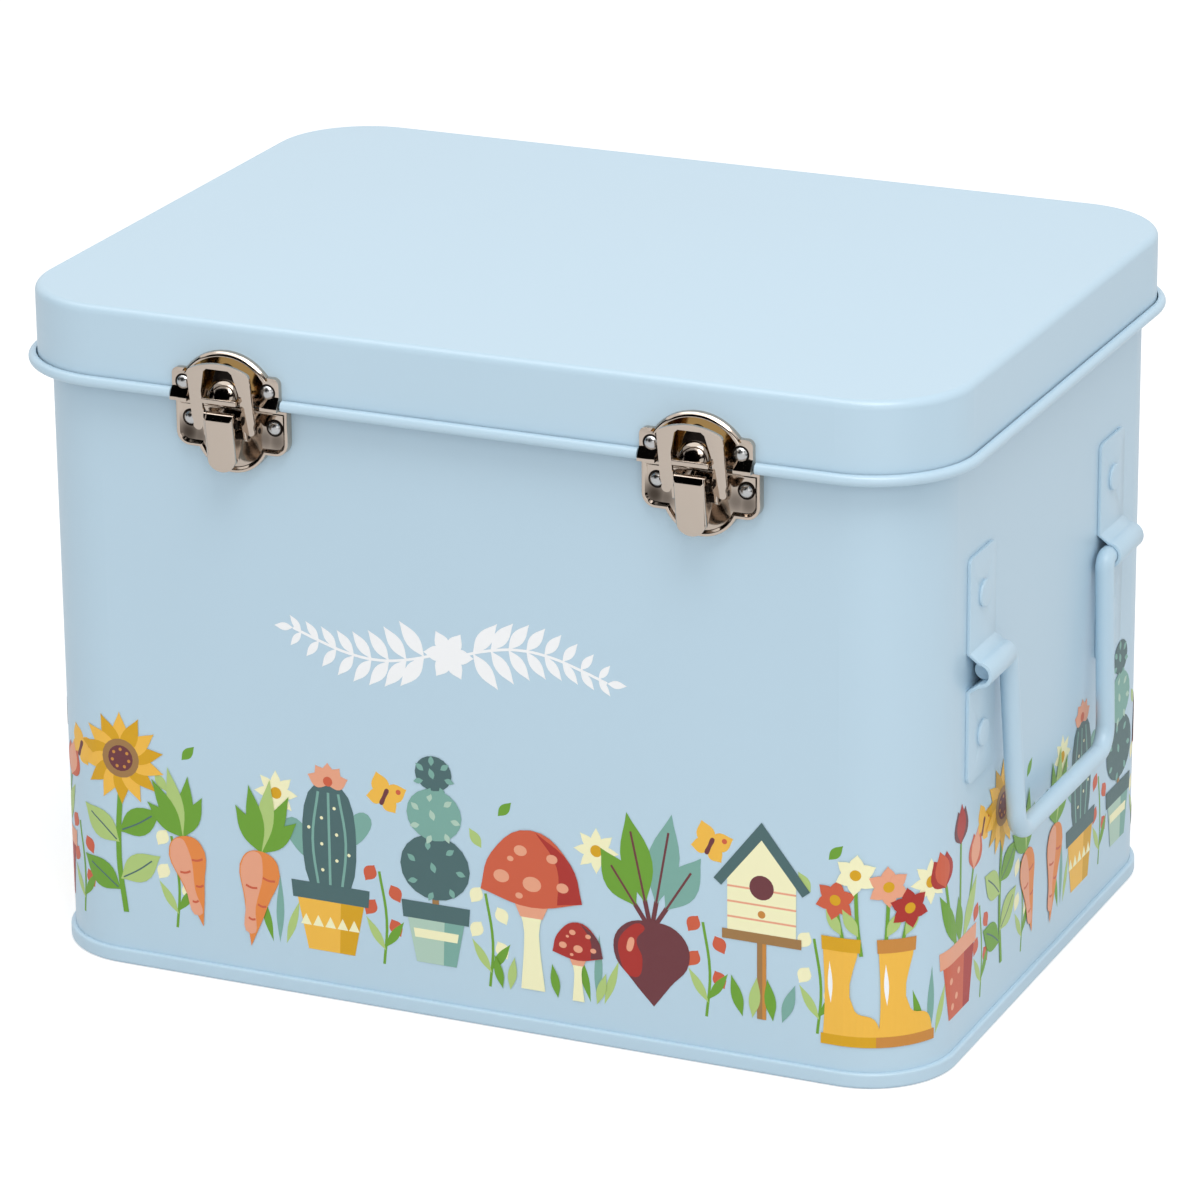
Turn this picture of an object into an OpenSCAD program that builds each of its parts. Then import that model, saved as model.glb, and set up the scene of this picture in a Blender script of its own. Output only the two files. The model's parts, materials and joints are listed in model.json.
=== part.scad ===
// Seed packet box of painted sheet steel: hinged lid, two draw latches, two bail handles.
// Millimetres. +X to the right along the front, +Y to the back, +Z up.
// The origin is on the floor, under the middle of the body.

/* [Box] */
// Width of the body across the front, outside
box_w = 300; // [270:1:340]
// Depth of the body from front to back, outside
box_d = 215; // [195:1:240]
// Height of the closed box
box_h = 220; // [205:1:250]
// Radius of the upright corners, outside
corner_r = 27; // [22:1:34]
// Thickness of the steel sheet
sheet_t = 0.6; // [0.5:0.05:0.7]

/* [Base] */
// Height of the seam round the foot
seam_h = 5; // [4:0.5:7]
// How far the seam stands out from the wall
seam_out = 1.6; // [1.2:0.1:2.2]
// Radius on the seam's lower outer edge
seam_low_r = 1.2; // [0.8:0.1:1.3]
// Radius on the seam's upper outer edge
seam_high_r = 0.8; // [0.4:0.1:1.0]
// Height of the floor's upper face
floor_z = 4.6; // [4:0.2:6]
// Gap between the wall and the folds of the seam
seam_gap = 0.05; // [0.03:0.01:0.1]

/* [Lid] */
// How far the lid's skirt stands out from the body
lid_over = 4.6; // [4.5:0.1:5.5]
// Depth of the skirt, bead included
skirt_h = 25.6; // [22:0.2:30]
// Radius on the lid's top edge
lid_edge_r = 2.5; // [1.5:0.1:4]
// Outer radius of the bead curled along the skirt's lower edge
bead_r = 1.75; // [1.5:0.05:1.9]
// Angle left open between the bead's end and the skirt
bead_open = 68; // [60:1:80]
// Gap between the lid's underside and the body's rim
lid_rest_gap = 0.3; // [0.2:0.05:0.5]
// Outer radius of the rim rolled outwards along the body's top edge
rim_r = 1.45; // [1.3:0.05:1.55]

/* [Latches] */
// Distance between the middles of the two latches
latch_spacing = 155.5; // [130:0.1:180]
// How far the pair of latches sits to the right of the middle
latch_shift = 2.3; // [0:0.1:4]
// Width of the keeper
plate_w = 36.4; // [34:0.1:40]
// Distance between the two rivets of a plate
plate_rivet_spacing = 28.7; // [27:0.1:30]
// Thickness of the latch sheet
latch_t = 0.8; // [0.6:0.05:0.9]
// Space between the ends of the bead and the keeper
bead_end_gap = 0.6; // [0.3:0.1:1.5]

/* [Keeper] */
// Height of the keeper's rivets above the skirt's lower edge
keeper_rivet_v = 5.8; // [5:0.1:7]
// Height of the keeper's ears
ear_h = 10.4; // [9.5:0.1:12]
// Thickness of the ears
ear_out = 2; // [1.4:0.1:2.4]
// Radius of the ears' upper corners
ear_r = 2.2; // [1.5:0.1:4]
// Outer radius of the arched hood
hood_r = 17.6; // [16:0.1:17.9]
// Height of the hood's top above the skirt's lower edge
hood_h = 17.1; // [16:0.1:18.5]
// Thickness of the hood's rim
hood_rim = 0.8; // [0.6:0.1:1.2]
// Width of each ear's raised part
ear_in = 5.7; // [5:0.1:6.2]
// How far the hood's rim stands out from the skirt
hood_out = 3.6; // [2.6:0.1:4]
// Radius of the catch
catch_r = 6.1; // [5:0.1:6.2]
// Height of the catch's flat underside
catch_low = 1.3; // [1:0.1:1.7]
// Height of the straight part of the catch
catch_straight = 1.9; // [1.5:0.1:2.4]
// How far the catch stands out from the keeper's plate
catch_out = 5.4; // [4.5:0.1:5.5]

/* [Latch base] */
// Width of the base plate
tray_w = 38; // [36:0.1:42]
// How far the face of the base plate stands out from the wall
tray_out = 3.2; // [2.6:0.1:3.4]
// Depth of the base plate's upper edge below the skirt
tray_top = 0.9; // [0.6:0.1:1.5]
// Depth of the base plate's rivets below the skirt's lower edge
tray_rivet_drop = 6.8; // [6.2:0.1:7.5]
// Radius of the base plate's lower corners
tray_lobe_r = 4.4; // [3.5:0.1:5]
// Depth of the base plate's corners below the skirt
tray_side_h = 15.6; // [15:0.1:17]
// Radius of the middle lobe
tray_mid_r = 12.6; // [11:0.1:13]
// Depth of the middle lobe below the skirt
tray_h = 22.6; // [21.5:0.1:24]

/* [Lever and loop] */
// Distance of the lever's pin from the wall
lever_pin_out = 9.3; // [9.1:0.1:9.8]
// Depth of the lever's pin below the skirt's lower edge
lever_pin_drop = 4.8; // [4.7:0.1:5.6]
// Width of the lever
lever_w = 9.9; // [9.5:0.1:10.2]
// Length of the lever below its pin
lever_low = 15.2; // [14:0.1:17]
// Length of the lever above its pin
lever_high = 3.9; // [3.5:0.1:4]
// Distance from the lever's pin to the lever's face
lever_face = 3.3; // [3.1:0.05:3.5]
// Depth of the lip along the lever's upper edge
lever_lip = 2.6; // [1.5:0.1:2.7]
// Thickness of the lever's sheet
lever_t = 0.9; // [0.7:0.05:0.95]
// Lean of the closed lever
lever_tilt = 8; // [6:0.5:9]
// How far the loop's pin lies behind the lever's pin
loop_pin_back = 2.9; // [2.7:0.1:3.1]
// How far the loop's pin lies below the lever's pin
loop_pin_drop = 4.8; // [4.6:0.1:5.2]
// Width of the loop over its legs
loop_w = 21.2; // [20.5:0.1:22.5]
// Width of the loop's window between the legs
loop_window = 13; // [13:0.1:14]
// Width of the loop's window at its top
loop_window_top = 9.2; // [8:0.1:10]
// Height of the loop's upper edge above its pin
loop_h = 24.4; // [23.5:0.1:25.5]
// Height of the bar across the top of the loop
loop_bar = 1.8; // [1.5:0.1:2.6]
// Radius of the loop's arched upper edge
loop_arch_r = 21; // [18:0.5:30]
// Radius of the loop's shoulders
loop_shoulder_r = 2; // [1.5:0.1:3]
// Thickness of the loop
loop_t = 1.1; // [0.9:0.05:1.2]
// Lean of the closed loop
loop_tilt = 10; // [9:0.2:12]
// Radius of the lever's and the loop's pins
latch_pin_r = 0.9; // [0.7:0.05:1]

/* [Hinges] */
// Distance between the middles of the two hinges
hinge_spacing = 170; // [140:1:190]
// Width of a hinge
hinge_w = 38; // [32:0.5:44]
// Outer radius of the hinge barrel
barrel_r = 2.5; // [2.2:0.1:2.8]
// Radius of the hinge pin
hinge_pin_r = 1.2; // [1:0.05:1.3]
// Thickness of the hinge leaves
leaf_t = 1; // [0.8:0.05:1.2]
// Space between the barrel and the lid's skirt
barrel_gap = 0.3; // [0.3:0.05:0.6]
// Height of the leaf on the lid, above the barrel
leaf_up = 15; // [13:0.5:18]
// Height of the leaf on the body, below the barrel
leaf_down = 20; // [17:0.5:24]
// Distance between a leaf's rivets
leaf_rivet_spacing = 24; // [18:0.5:26]

/* [Handles] */
// Diameter of the handle's rod
rod_d = 6; // [5:0.1:6.4]
// Height of the handle's pivot
handle_z = 125; // [110:1:135]
// How far the handles sit in front of the middle
handle_shift = 2.4; // [0:0.1:4]
// Distance between the middles of a handle's two brackets
bracket_spacing = 117.4; // [100:0.2:126]
// Width of a bracket
bracket_w = 22; // [18:0.5:24]
// Height of a bracket
bracket_h = 72.4; // [68:0.2:80]
// Thickness of a bracket
bracket_t = 1.2; // [1:0.1:1.5]
// Radius of a bracket's corners
bracket_corner_r = 2.5; // [1.5:0.1:4]
// Distance between a bracket's two rivets
bracket_rivet_spacing = 44.8; // [40:0.2:48]
// Space between the wall and the rod where it turns
rod_wall_gap = 1; // [0.8:0.1:1.5]
// Half the height of the bracket's loop at the wall
loop_base = 6; // [5.8:0.1:7]
// Distance from the pivot down to the middle of the grip
handle_drop = 62; // [52:0.5:64]
// How much nearer each leg stands at the grip than at the pivot
leg_draw = 3.4; // [0:0.1:5]
// Lean of the hanging handle away from the wall
handle_lean = 2.5; // [2.5:0.1:4]
// Bend radius of the rod where it leaves the bracket
top_bend_r = 3.6; // [3.4:0.1:4.5]
// Bend radius of the rod at the grip
grip_bend_r = 8; // [6:0.5:12]
// Swell of the rod where it is bent
rod_swell = 0.02; // [0.01:0.01:0.05]
// How far the rod's end stays inside the bracket
rod_end_inset = 5; // [2:0.5:7]

/* [Dividers] */
// Thickness of the divider sheets
divider_t = 0.8; // [0.6:0.1:1]
// Height of the dividers
divider_h = 120; // [90:1:150]
// Distance between the cross dividers
divider_pitch = 75; // [60:1:80]
// Space between a divider's ends and the wall
divider_end_gap = 0.4; // [0.2:0.1:1]
// Radius on the dividers' upper corners
divider_corner_r = 6; // [3:0.5:10]

/* [Rivets and fits] */
// Radius of the small rivets' heads
rivet_head_r = 2.3; // [2:0.1:2.6]
// Height of the small rivets' heads
rivet_head_h = 1.3; // [1:0.1:1.6]
// Radius of the bracket rivets' heads
bracket_head_r = 4.4; // [3.6:0.1:5]
// Height of the bracket rivets' heads
bracket_head_h = 0.9; // [0.7:0.1:1.4]
// Radius of the rivets' shanks
rivet_shank_r = 1.2; // [1:0.05:1.4]
// Radius of the rivets' closed ends inside the box
rivet_tail_r = 2; // [1.8:0.1:2.4]
// Thickness of the rivets' closed ends
rivet_tail_h = 0.4; // [0.3:0.05:0.45]
// Radial gap round a rivet's shank
rivet_gap = 0.05; // [0.03:0.01:0.08]
// Radial gap of a pin in what turns on it
running_gap = 0.05; // [0.03:0.01:0.08]
// Radial gap of the handle's rod in its brackets
rod_gap = 0.1; // [0.06:0.01:0.1]
// Space between sheets that slide past each other
side_gap = 0.15; // [0.1:0.01:0.2]

/* [Hidden] */
$fn = 64;
tiny = 0.01;
far = 2000;

// Heights that follow from the sizes above
skirt_z = box_h - skirt_h;
rim_top = box_h - sheet_t - lid_rest_gap;
rim_z = rim_top - rim_r;
bead_z = skirt_z + bead_r;
wall_foot = sheet_t + seam_gap;
skirt_in = lid_over - sheet_t;

// Latch positions, as distance out from the wall and height above the skirt's lower edge
keeper_face = lid_over + latch_t;
keeper_low = 0.3;
lever_pin_v = -lever_pin_drop;
loop_pin_out = lever_pin_out - loop_pin_back * cos(lever_tilt) - loop_pin_drop * sin(lever_tilt);
loop_pin_v = lever_pin_v + loop_pin_back * sin(lever_tilt) - loop_pin_drop * cos(lever_tilt);
notch_w = plate_w + 2 * bead_end_gap;
lever_lug_r = latch_pin_r + 1.2;
loop_lug_r = latch_pin_r + 0.9;
ear_lug_r = latch_pin_r + 1.1;
base_ear_x = lever_w / 2 - lever_t - side_gap - latch_t / 2;
loop_lug_t = 1;
leg_foot = 5.5;
loop_lug_x = loop_window / 2 - 0.2;
pin_head_r = latch_pin_r + 0.5;
pin_head_t = 0.5;

// Hinge positions
hinge_y = box_d / 2 + lid_over + barrel_gap + barrel_r;
hinge_z = bead_z;
knuckles = 5;
knuckle_gap = 0.25;
knuckle_l = hinge_w / knuckles;
leaf_rivet_up = (barrel_r + barrel_gap + leaf_up) / 2 + 1;
leaf_rivet_down = leaf_down / 2 + 4;
web_drop = barrel_r + 1.2;

// Handle positions
rod_r = rod_d / 2;
rod_x = box_w / 2 + rod_wall_gap + rod_r;
leg_y = bracket_spacing / 2 - bracket_w / 2 - top_bend_r;
grip_y = leg_y - leg_draw;
rod_end_y = bracket_spacing / 2 + bracket_w / 2 - rod_end_inset;
bend_lap = 0.2;

paint = "#bcd6e7";
nickel = "#c9bfb4";
rivet_steel = "#b9bbbf";

// ---- Shared shapes

// A rectangle with round corners, centred
module rounded_rect(w, d, r) {
    square([w - 2 * r, d], center = true);
    square([w, d - 2 * r], center = true);
    for (sx = [-1, 1], sy = [-1, 1])
        translate([sx * (w / 2 - r), sy * (d / 2 - r)]) circle(r = r);
}

// Carries a profile round the body: its x is the distance out from the wall, its y the height
module round_the_box() {
    for (i = [0:3]) {
        half = (i % 2 == 0 ? box_w : box_d) / 2;
        run = (i % 2 == 0 ? box_d : box_w) - 2 * corner_r;
        rotate([0, 0, 90 * i]) {
            translate([half, run / 2, 0]) rotate([90, 0, 0])
                linear_extrude(run) children();
            translate([half - corner_r, run / 2, 0]) rotate_extrude(angle = 90)
                translate([corner_r, 0]) children();
        }
    }
}

// The cross-section of a rolled edge: a ring, open between two angles
module curl(r, from, to) {
    difference() {
        circle(r = r);
        circle(r = r - sheet_t);
        polygon([[0, 0], 2 * r * [cos(from), sin(from)], 2 * r * [cos(to), sin(to)]]);
    }
}

// A flat piece that faces the front, from o to o + t out from the wall; its outline is x and height
module face_plate(o, t) {
    translate([0, o + t, 0]) rotate([90, 0, 0]) linear_extrude(t) children();
}

// A flat piece that faces sideways, centred on x; its outline is distance out and height
module side_plate(x, t) {
    translate([x, 0, 0]) rotate([90, 0, 90]) linear_extrude(t, center = true) children();
}

// A pin along X, at a distance out and a height
module cross_pin(o, v, r, l) {
    translate([0, o, v]) rotate([0, 90, 0]) cylinder(r = r, h = l, center = true);
}

// A rivet along +Z: closed end below zero, shank, round head on top of the grip
module rivet(head_r, head_h, grip) {
    ball_r = (head_r * head_r + head_h * head_h) / (2 * head_h);
    translate([0, 0, -rivet_tail_h]) cylinder(r = rivet_tail_r, h = rivet_tail_h);
    cylinder(r = rivet_shank_r, h = grip);
    intersection() {
        translate([0, 0, grip + head_h - ball_r]) sphere(r = ball_r);
        translate([0, 0, grip]) cylinder(r = head_r + 1, h = head_h + 1);
    }
}

// ---- Body

module body_wall() {
    color(paint) difference() {
        round_the_box() {
            translate([-sheet_t, wall_foot]) square([sheet_t, rim_z - wall_foot]);
            translate([rim_r - sheet_t, rim_z]) curl(rim_r, 190, 232);
        }
        both_latches() tray_rivet_holes();
        both_hinges() leaf_down_holes();
        both_sides() both_brackets() bracket_holes();
    }
}

// The pan is one sheet: a raised floor, a fold under the wall's foot and a fold up outside it
module base_pan() {
    fold_in = sheet_t + seam_gap;
    color(paint) {
        round_the_box() {
            translate([-fold_in - sheet_t, 0]) square([sheet_t, floor_z]);
            translate([-fold_in - sheet_t, 0])
                square([fold_in + sheet_t + seam_out - seam_low_r, sheet_t]);
            seam_fold();
        }
        translate([0, 0, floor_z - sheet_t]) linear_extrude(sheet_t)
            rounded_rect(box_w - 2 * fold_in, box_d - 2 * fold_in, corner_r - fold_in);
    }
}

module seam_fold() {
    intersection() {
        translate([seam_gap, 0]) square([seam_out, seam_h]);
        union() {
            translate([0, seam_low_r]) square([seam_out, seam_h - seam_low_r - seam_high_r]);
            square([seam_out - seam_low_r, seam_h]);
            translate([0, seam_low_r]) square([seam_out - seam_high_r, seam_h - seam_low_r]);
            translate([seam_out - seam_low_r, seam_low_r]) circle(r = seam_low_r);
            translate([seam_out - seam_high_r, seam_h - seam_high_r]) circle(r = seam_high_r);
        }
    }
}

// ---- Lid

module lid_shell() {
    top_r = corner_r + lid_over - lid_edge_r;
    top_w = box_w + 2 * (lid_over - lid_edge_r);
    top_d = box_d + 2 * (lid_over - lid_edge_r);
    color(paint) difference() {
        union() {
            translate([0, 0, box_h - sheet_t]) linear_extrude(sheet_t)
                rounded_rect(top_w, top_d, top_r);
            difference() {
                round_the_box() lid_profile();
                both_latches() bead_notch(notch_w);
                both_hinges() bead_notch(hinge_w + 2 * bead_end_gap);
            }
            round_the_box() skirt_foot();
        }
        both_latches() keeper_rivet_holes();
        both_hinges() leaf_up_holes();
    }
}

// The lid's edge from the top panel's rim down to the bead
module lid_profile() {
    translate([skirt_in, bead_z]) square([sheet_t, box_h - lid_edge_r - bead_z]);
    translate([lid_over - lid_edge_r, box_h - lid_edge_r]) intersection() {
        difference() {
            circle(r = lid_edge_r);
            circle(r = lid_edge_r - sheet_t);
        }
        square(lid_edge_r);
    }
    translate([skirt_in + bead_r, bead_z]) curl(bead_r, 180 - bead_open, 180);
}

// The plain lower edge of the skirt, which is left where the bead is cut away
module skirt_foot() {
    translate([skirt_in, skirt_z]) square([sheet_t, bead_r + tiny]);
}

// In a latch's or hinge's own frame: clears the bead, but not the skirt
module bead_notch(w) {
    translate([-w / 2, lid_over, -1]) cube([w, 2 * bead_r + 1, 2 * bead_r + 2]);
    translate([-w / 2, 0, -1]) cube([w, lid_over + 1, 1 + bead_r]);
}

// ---- Latches, modelled once in a frame on the wall: x across, y out, z above the skirt's edge

module at_latch(side) {
    translate([latch_shift + side * latch_spacing / 2, -box_d / 2, skirt_z])
        mirror([0, 1, 0]) children();
}

module both_latches() {
    for (side = [-1, 1]) at_latch(side) children();
}

// Places a child at each rivet of a plate, its +Z pointing out of the wall
module at_plate_rivets(o, v) {
    for (sx = [-1, 1])
        translate([sx * plate_rivet_spacing / 2, o, v]) rotate([-90, 0, 0]) children();
}

module rivet_hole() {
    cylinder(r = rivet_shank_r + rivet_gap, h = 12, center = true);
}

module keeper_rivet_holes() {
    at_plate_rivets(lid_over, keeper_rivet_v) rivet_hole();
}

module tray_rivet_holes() {
    at_plate_rivets(0, -tray_rivet_drop) rivet_hole();
}

module keeper_outline() {
    ears_outline();
    intersection() {
        translate([0, hood_h - hood_r]) circle(r = hood_r);
        translate([-plate_w / 2, keeper_low]) square([plate_w, far]);
    }
}

module ears_outline() {
    translate([-plate_w / 2, keeper_low]) square([plate_w, ear_h - keeper_low - ear_r]);
    translate([-plate_w / 2 + ear_r, keeper_low])
        square([plate_w - 2 * ear_r, ear_h - keeper_low]);
    for (sx = [-1, 1])
        translate([sx * (plate_w / 2 - ear_r), ear_h - ear_r]) circle(r = ear_r);
}

// Keeper: a plate with two raised ears, an arched hood and the round catch
module keeper() {
    hood_c = hood_h - hood_r;
    color(nickel) difference() {
        union() {
            face_plate(lid_over, latch_t) keeper_outline();
            face_plate(lid_over, ear_out) difference() {
                ears_outline();
                translate([ear_in - plate_w / 2, -1]) square([plate_w - 2 * ear_in, far]);
            }
            face_plate(lid_over, hood_out) difference() {
                translate([0, hood_c]) circle(r = hood_r);
                translate([0, hood_c]) circle(r = hood_r - hood_rim);
                translate([-plate_w, -far + ear_h - 1]) square([2 * plate_w, far]);
            }
            catch();
        }
        keeper_rivet_holes();
    }
}

// A ball above a short upright drum, with a flat underside, set in the keeper's plate
module catch() {
    straight_top = catch_low + catch_straight;
    centre_out = keeper_face + catch_out - catch_r;
    intersection() {
        union() {
            translate([0, centre_out, straight_top]) sphere(r = catch_r);
            translate([0, centre_out, catch_low]) cylinder(r = catch_r, h = catch_straight);
        }
        translate([-catch_r - 1, keeper_face - latch_t / 2, catch_low])
            cube([2 * catch_r + 2, catch_out + 2, catch_r + catch_straight + 1]);
    }
}

module tray_outline(inset) {
    half = tray_w / 2 - inset;
    low = -tray_side_h + tray_lobe_r;
    translate([-half, low]) square([2 * half, -tray_top - inset - low]);
    for (sx = [-1, 1])
        translate([sx * (tray_w / 2 - tray_lobe_r), low]) circle(r = tray_lobe_r - inset);
    translate([-tray_w / 2 + tray_lobe_r, -tray_side_h + inset])
        square([tray_w - 2 * tray_lobe_r, tray_side_h - tray_lobe_r]);
    intersection() {
        translate([0, -tray_h + tray_mid_r]) circle(r = tray_mid_r - inset);
        translate([-half, -far]) square([2 * half, far - tray_top - inset]);
    }
}

// Latch base: a shallow tray, open towards the wall, with two ears for the lever's pin
module latch_base() {
    color(nickel) difference() {
        union() {
            difference() {
                face_plate(0, tray_out) tray_outline(0);
                face_plate(-1, 1 + tray_out - latch_t) tray_outline(latch_t);
            }
            for (sx = [-1, 1]) side_plate(sx * base_ear_x, latch_t) base_ear_outline();
        }
        tray_rivet_holes();
        cross_pin(lever_pin_out, lever_pin_v, latch_pin_r + seam_gap, lever_w);
    }
}

// One ear, from the tray's face to the lever's pin; it stays clear of the loop's pin
module base_ear_outline() {
    root = tray_out - latch_t / 2;
    translate([lever_pin_out, lever_pin_v]) circle(r = ear_lug_r);
    polygon([
        [lever_pin_out, lever_pin_v],
        [lever_pin_out - ear_lug_r * cos(20), lever_pin_v - ear_lug_r * sin(20)],
        [root, lever_pin_v - 1.8],
        [root, lever_pin_v - 3],
        [lever_pin_out - ear_lug_r * cos(65), lever_pin_v - ear_lug_r * sin(65)]
    ]);
}

// Puts a child in the lever's frame: the origin at its pin, +Y out through its face
module lever_frame() {
    translate([0, lever_pin_out, lever_pin_v]) rotate([-lever_tilt, 0, 0]) children();
}

// Lever: a channel with a round lower end, closed at the top
module latch_lever() {
    half = lever_w / 2;
    color(nickel) lever_frame() difference() {
        union() {
            face_plate(lever_face - lever_t, lever_t) {
                translate([-half, half - lever_low])
                    square([lever_w, lever_low + lever_high - half]);
                translate([0, half - lever_low]) circle(r = half);
            }
            translate([-half, lever_face - lever_lip, lever_high - lever_t])
                cube([lever_w, lever_lip, lever_t]);
            for (sx = [-1, 1]) side_plate(sx * (half - lever_t / 2), lever_t)
                lever_flange_outline();
        }
        cross_pin(0, 0, latch_pin_r + running_gap, far);
        cross_pin(-loop_pin_back, -loop_pin_drop, latch_pin_r + running_gap, far);
    }
}

module lever_flange_outline() {
    lug_low = loop_pin_drop + loop_lug_r;
    circle(r = lever_lug_r);
    translate([-loop_pin_back, -loop_pin_drop]) circle(r = loop_lug_r);
    polygon([
        [lever_face - tiny, lever_high - tiny],
        [-lever_lug_r * cos(50), lever_lug_r * sin(50)],
        [-loop_pin_back - loop_lug_r * cos(20), -loop_pin_drop + loop_lug_r * sin(20)],
        [-loop_pin_back, -lug_low],
        [lever_face - lever_t, lever_w / 2 - lever_low - 2],
        [lever_face - tiny, lever_w / 2 - lever_low]
    ]);
}

// The pin that holds the lever in the ears, with a small head at each end
module lever_pin() {
    color(rivet_steel) {
        cross_pin(lever_pin_out, lever_pin_v, latch_pin_r, lever_w + 2 * seam_gap + 2 * pin_head_t);
        for (sx = [-1, 1])
            translate([sx * (lever_w / 2 + seam_gap + pin_head_t / 2), 0, 0])
                cross_pin(lever_pin_out, lever_pin_v, pin_head_r, pin_head_t);
    }
}

// The pin that carries the loop: fixed in the lever, with a collar on each side
module loop_pin() {
    collar = loop_lug_x - side_gap - lever_w / 2 - seam_gap;
    color(rivet_steel) lever_frame() {
        cross_pin(-loop_pin_back, -loop_pin_drop, latch_pin_r, 2 * (loop_lug_x + loop_lug_t));
        for (sx = [-1, 1])
            translate([sx * (lever_w / 2 + seam_gap + collar / 2), 0, 0])
                cross_pin(-loop_pin_back, -loop_pin_drop, pin_head_r, collar);
    }
}

// Loop: an arched plate with two legs; a lug behind each leg turns on the loop's pin
module latch_loop() {
    plate_in = latch_pin_r + running_gap;
    color(nickel) translate([0, loop_pin_out, loop_pin_v]) rotate([-loop_tilt, 0, 0])
        difference() {
            union() {
                face_plate(plate_in, loop_t) loop_outline();
                for (sx = [-1, 1])
                    side_plate(sx * (loop_lug_x + loop_lug_t / 2), loop_lug_t) {
                        circle(r = loop_lug_r);
                        polygon([
                            [-loop_lug_r * cos(30), loop_lug_r * sin(30)],
                            [plate_in + tiny, leg_foot + 3],
                            [plate_in + loop_t - tiny, leg_foot + 3],
                            [plate_in + loop_t - tiny, leg_foot - 1.5],
                            [loop_lug_r * cos(30), -loop_lug_r * sin(30)]
                        ]);
                    }
            }
            cross_pin(0, 0, latch_pin_r + running_gap, far);
        }
}

module loop_outline() {
    half = loop_w / 2;
    win = loop_window / 2;
    win_top = loop_window_top / 2;
    arch_v = loop_h - loop_arch_r;
    reach = loop_arch_r - loop_shoulder_r;
    shoulder_x = half - loop_shoulder_r;
    shoulder_v = arch_v + sqrt(reach * reach - shoulder_x * shoulder_x);
    win_v = loop_h - loop_bar;
    difference() {
        union() {
            translate([-half, leg_foot]) square([loop_w, shoulder_v - leg_foot]);
            for (sx = [-1, 1]) translate([sx * shoulder_x, shoulder_v])
                circle(r = loop_shoulder_r);
            intersection() {
                translate([0, arch_v]) circle(r = loop_arch_r);
                polygon([
                    [0, arch_v],
                    [-1.3 * shoulder_x, arch_v + 1.3 * (shoulder_v - arch_v)],
                    [1.3 * shoulder_x, arch_v + 1.3 * (shoulder_v - arch_v)]
                ]);
            }
            for (sx = [-1, 1]) scale([sx, 1]) {
                translate([win + 2.4, 2.6]) circle(r = 1.5);
                polygon([
                    [win - 1, leg_foot + tiny],
                    [win - 0.2, leg_foot - 1.6],
                    [win + 1.1, 1.9],
                    [win + 3.7, 2],
                    [half - 0.4, leg_foot - 1.4],
                    [half, leg_foot + tiny]
                ]);
            }
        }
        polygon([
            [-win, 0], [-win, win_v - 8], [-win_top - 0.2, win_v - 1], [-win_top + 0.9, win_v],
            [win_top - 0.9, win_v], [win_top + 0.2, win_v - 1], [win, win_v - 8], [win, 0]
        ]);
    }
}

module keeper_rivets() {
    color(rivet_steel) both_latches() at_plate_rivets(skirt_in, keeper_rivet_v)
        rivet(rivet_head_r, rivet_head_h, sheet_t + ear_out);
}

module latch_base_rivets() {
    color(rivet_steel) both_latches() at_plate_rivets(-sheet_t, -tray_rivet_drop)
        rivet(rivet_head_r, rivet_head_h, sheet_t + tray_out);
}

// ---- Hinges, modelled once in a frame on the rear wall: x across, y out, z above the skirt's edge

module at_hinge(side) {
    translate([side * hinge_spacing / 2, box_d / 2, skirt_z]) children();
}

module both_hinges() {
    for (side = [-1, 1]) at_hinge(side) children();
}

module at_leaf_rivets(o, v) {
    for (sx = [-1, 1])
        translate([sx * leaf_rivet_spacing / 2, o, v]) rotate([-90, 0, 0]) children();
}

module leaf_up_holes() {
    at_leaf_rivets(lid_over, bead_r + leaf_rivet_up) rivet_hole();
}

module leaf_down_holes() {
    at_leaf_rivets(0, bead_r - leaf_rivet_down) rivet_hole();
}

// Places one knuckle's worth of a child at each knuckle whose number is odd or even
module at_knuckles(first) {
    for (i = [first:2:knuckles - 1])
        translate([-hinge_w / 2 + i * knuckle_l + knuckle_gap / 2, 0, 0]) children();
}

module knuckle() {
    translate([0, hinge_y - box_d / 2, bead_r]) rotate([0, 90, 0])
        cylinder(r = barrel_r, h = knuckle_l - knuckle_gap);
}

module barrel_bore() {
    cross_pin(hinge_y - box_d / 2, bead_r, hinge_pin_r + running_gap, far);
}

module hinge_leaf_lid() {
    clear = bead_r + barrel_r + barrel_gap;
    color(nickel) difference() {
        union() {
            translate([-hinge_w / 2, lid_over, clear]) cube([hinge_w, leaf_t, leaf_up]);
            at_knuckles(1) {
                knuckle();
                translate([0, lid_over, bead_r])
                    cube([knuckle_l - knuckle_gap, leaf_t, clear - bead_r + tiny]);
            }
        }
        barrel_bore();
        leaf_up_holes();
    }
}

// The leaf lies on the wall, turns out under the skirt and rises into its knuckles
module hinge_leaf_body() {
    web_v = bead_r - web_drop;
    barrel_o = hinge_y - box_d / 2;
    color(nickel) difference() {
        union() {
            translate([-hinge_w / 2, 0, web_v - leaf_down]) cube([hinge_w, leaf_t, leaf_down]);
            translate([-hinge_w / 2, 0, web_v - leaf_t])
                cube([hinge_w, barrel_o + leaf_t / 2, leaf_t]);
            at_knuckles(0) {
                knuckle();
                translate([0, barrel_o - leaf_t / 2, web_v - leaf_t])
                    cube([knuckle_l - knuckle_gap, leaf_t, web_drop]);
            }
        }
        barrel_bore();
        leaf_down_holes();
    }
}

module hinge_pin() {
    color(rivet_steel) cross_pin(hinge_y - box_d / 2, bead_r, hinge_pin_r, hinge_w);
}

module hinge_lid_rivets() {
    color(rivet_steel) both_hinges() at_leaf_rivets(skirt_in, bead_r + leaf_rivet_up)
        rivet(rivet_head_r, rivet_head_h, sheet_t + leaf_t);
}

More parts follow.
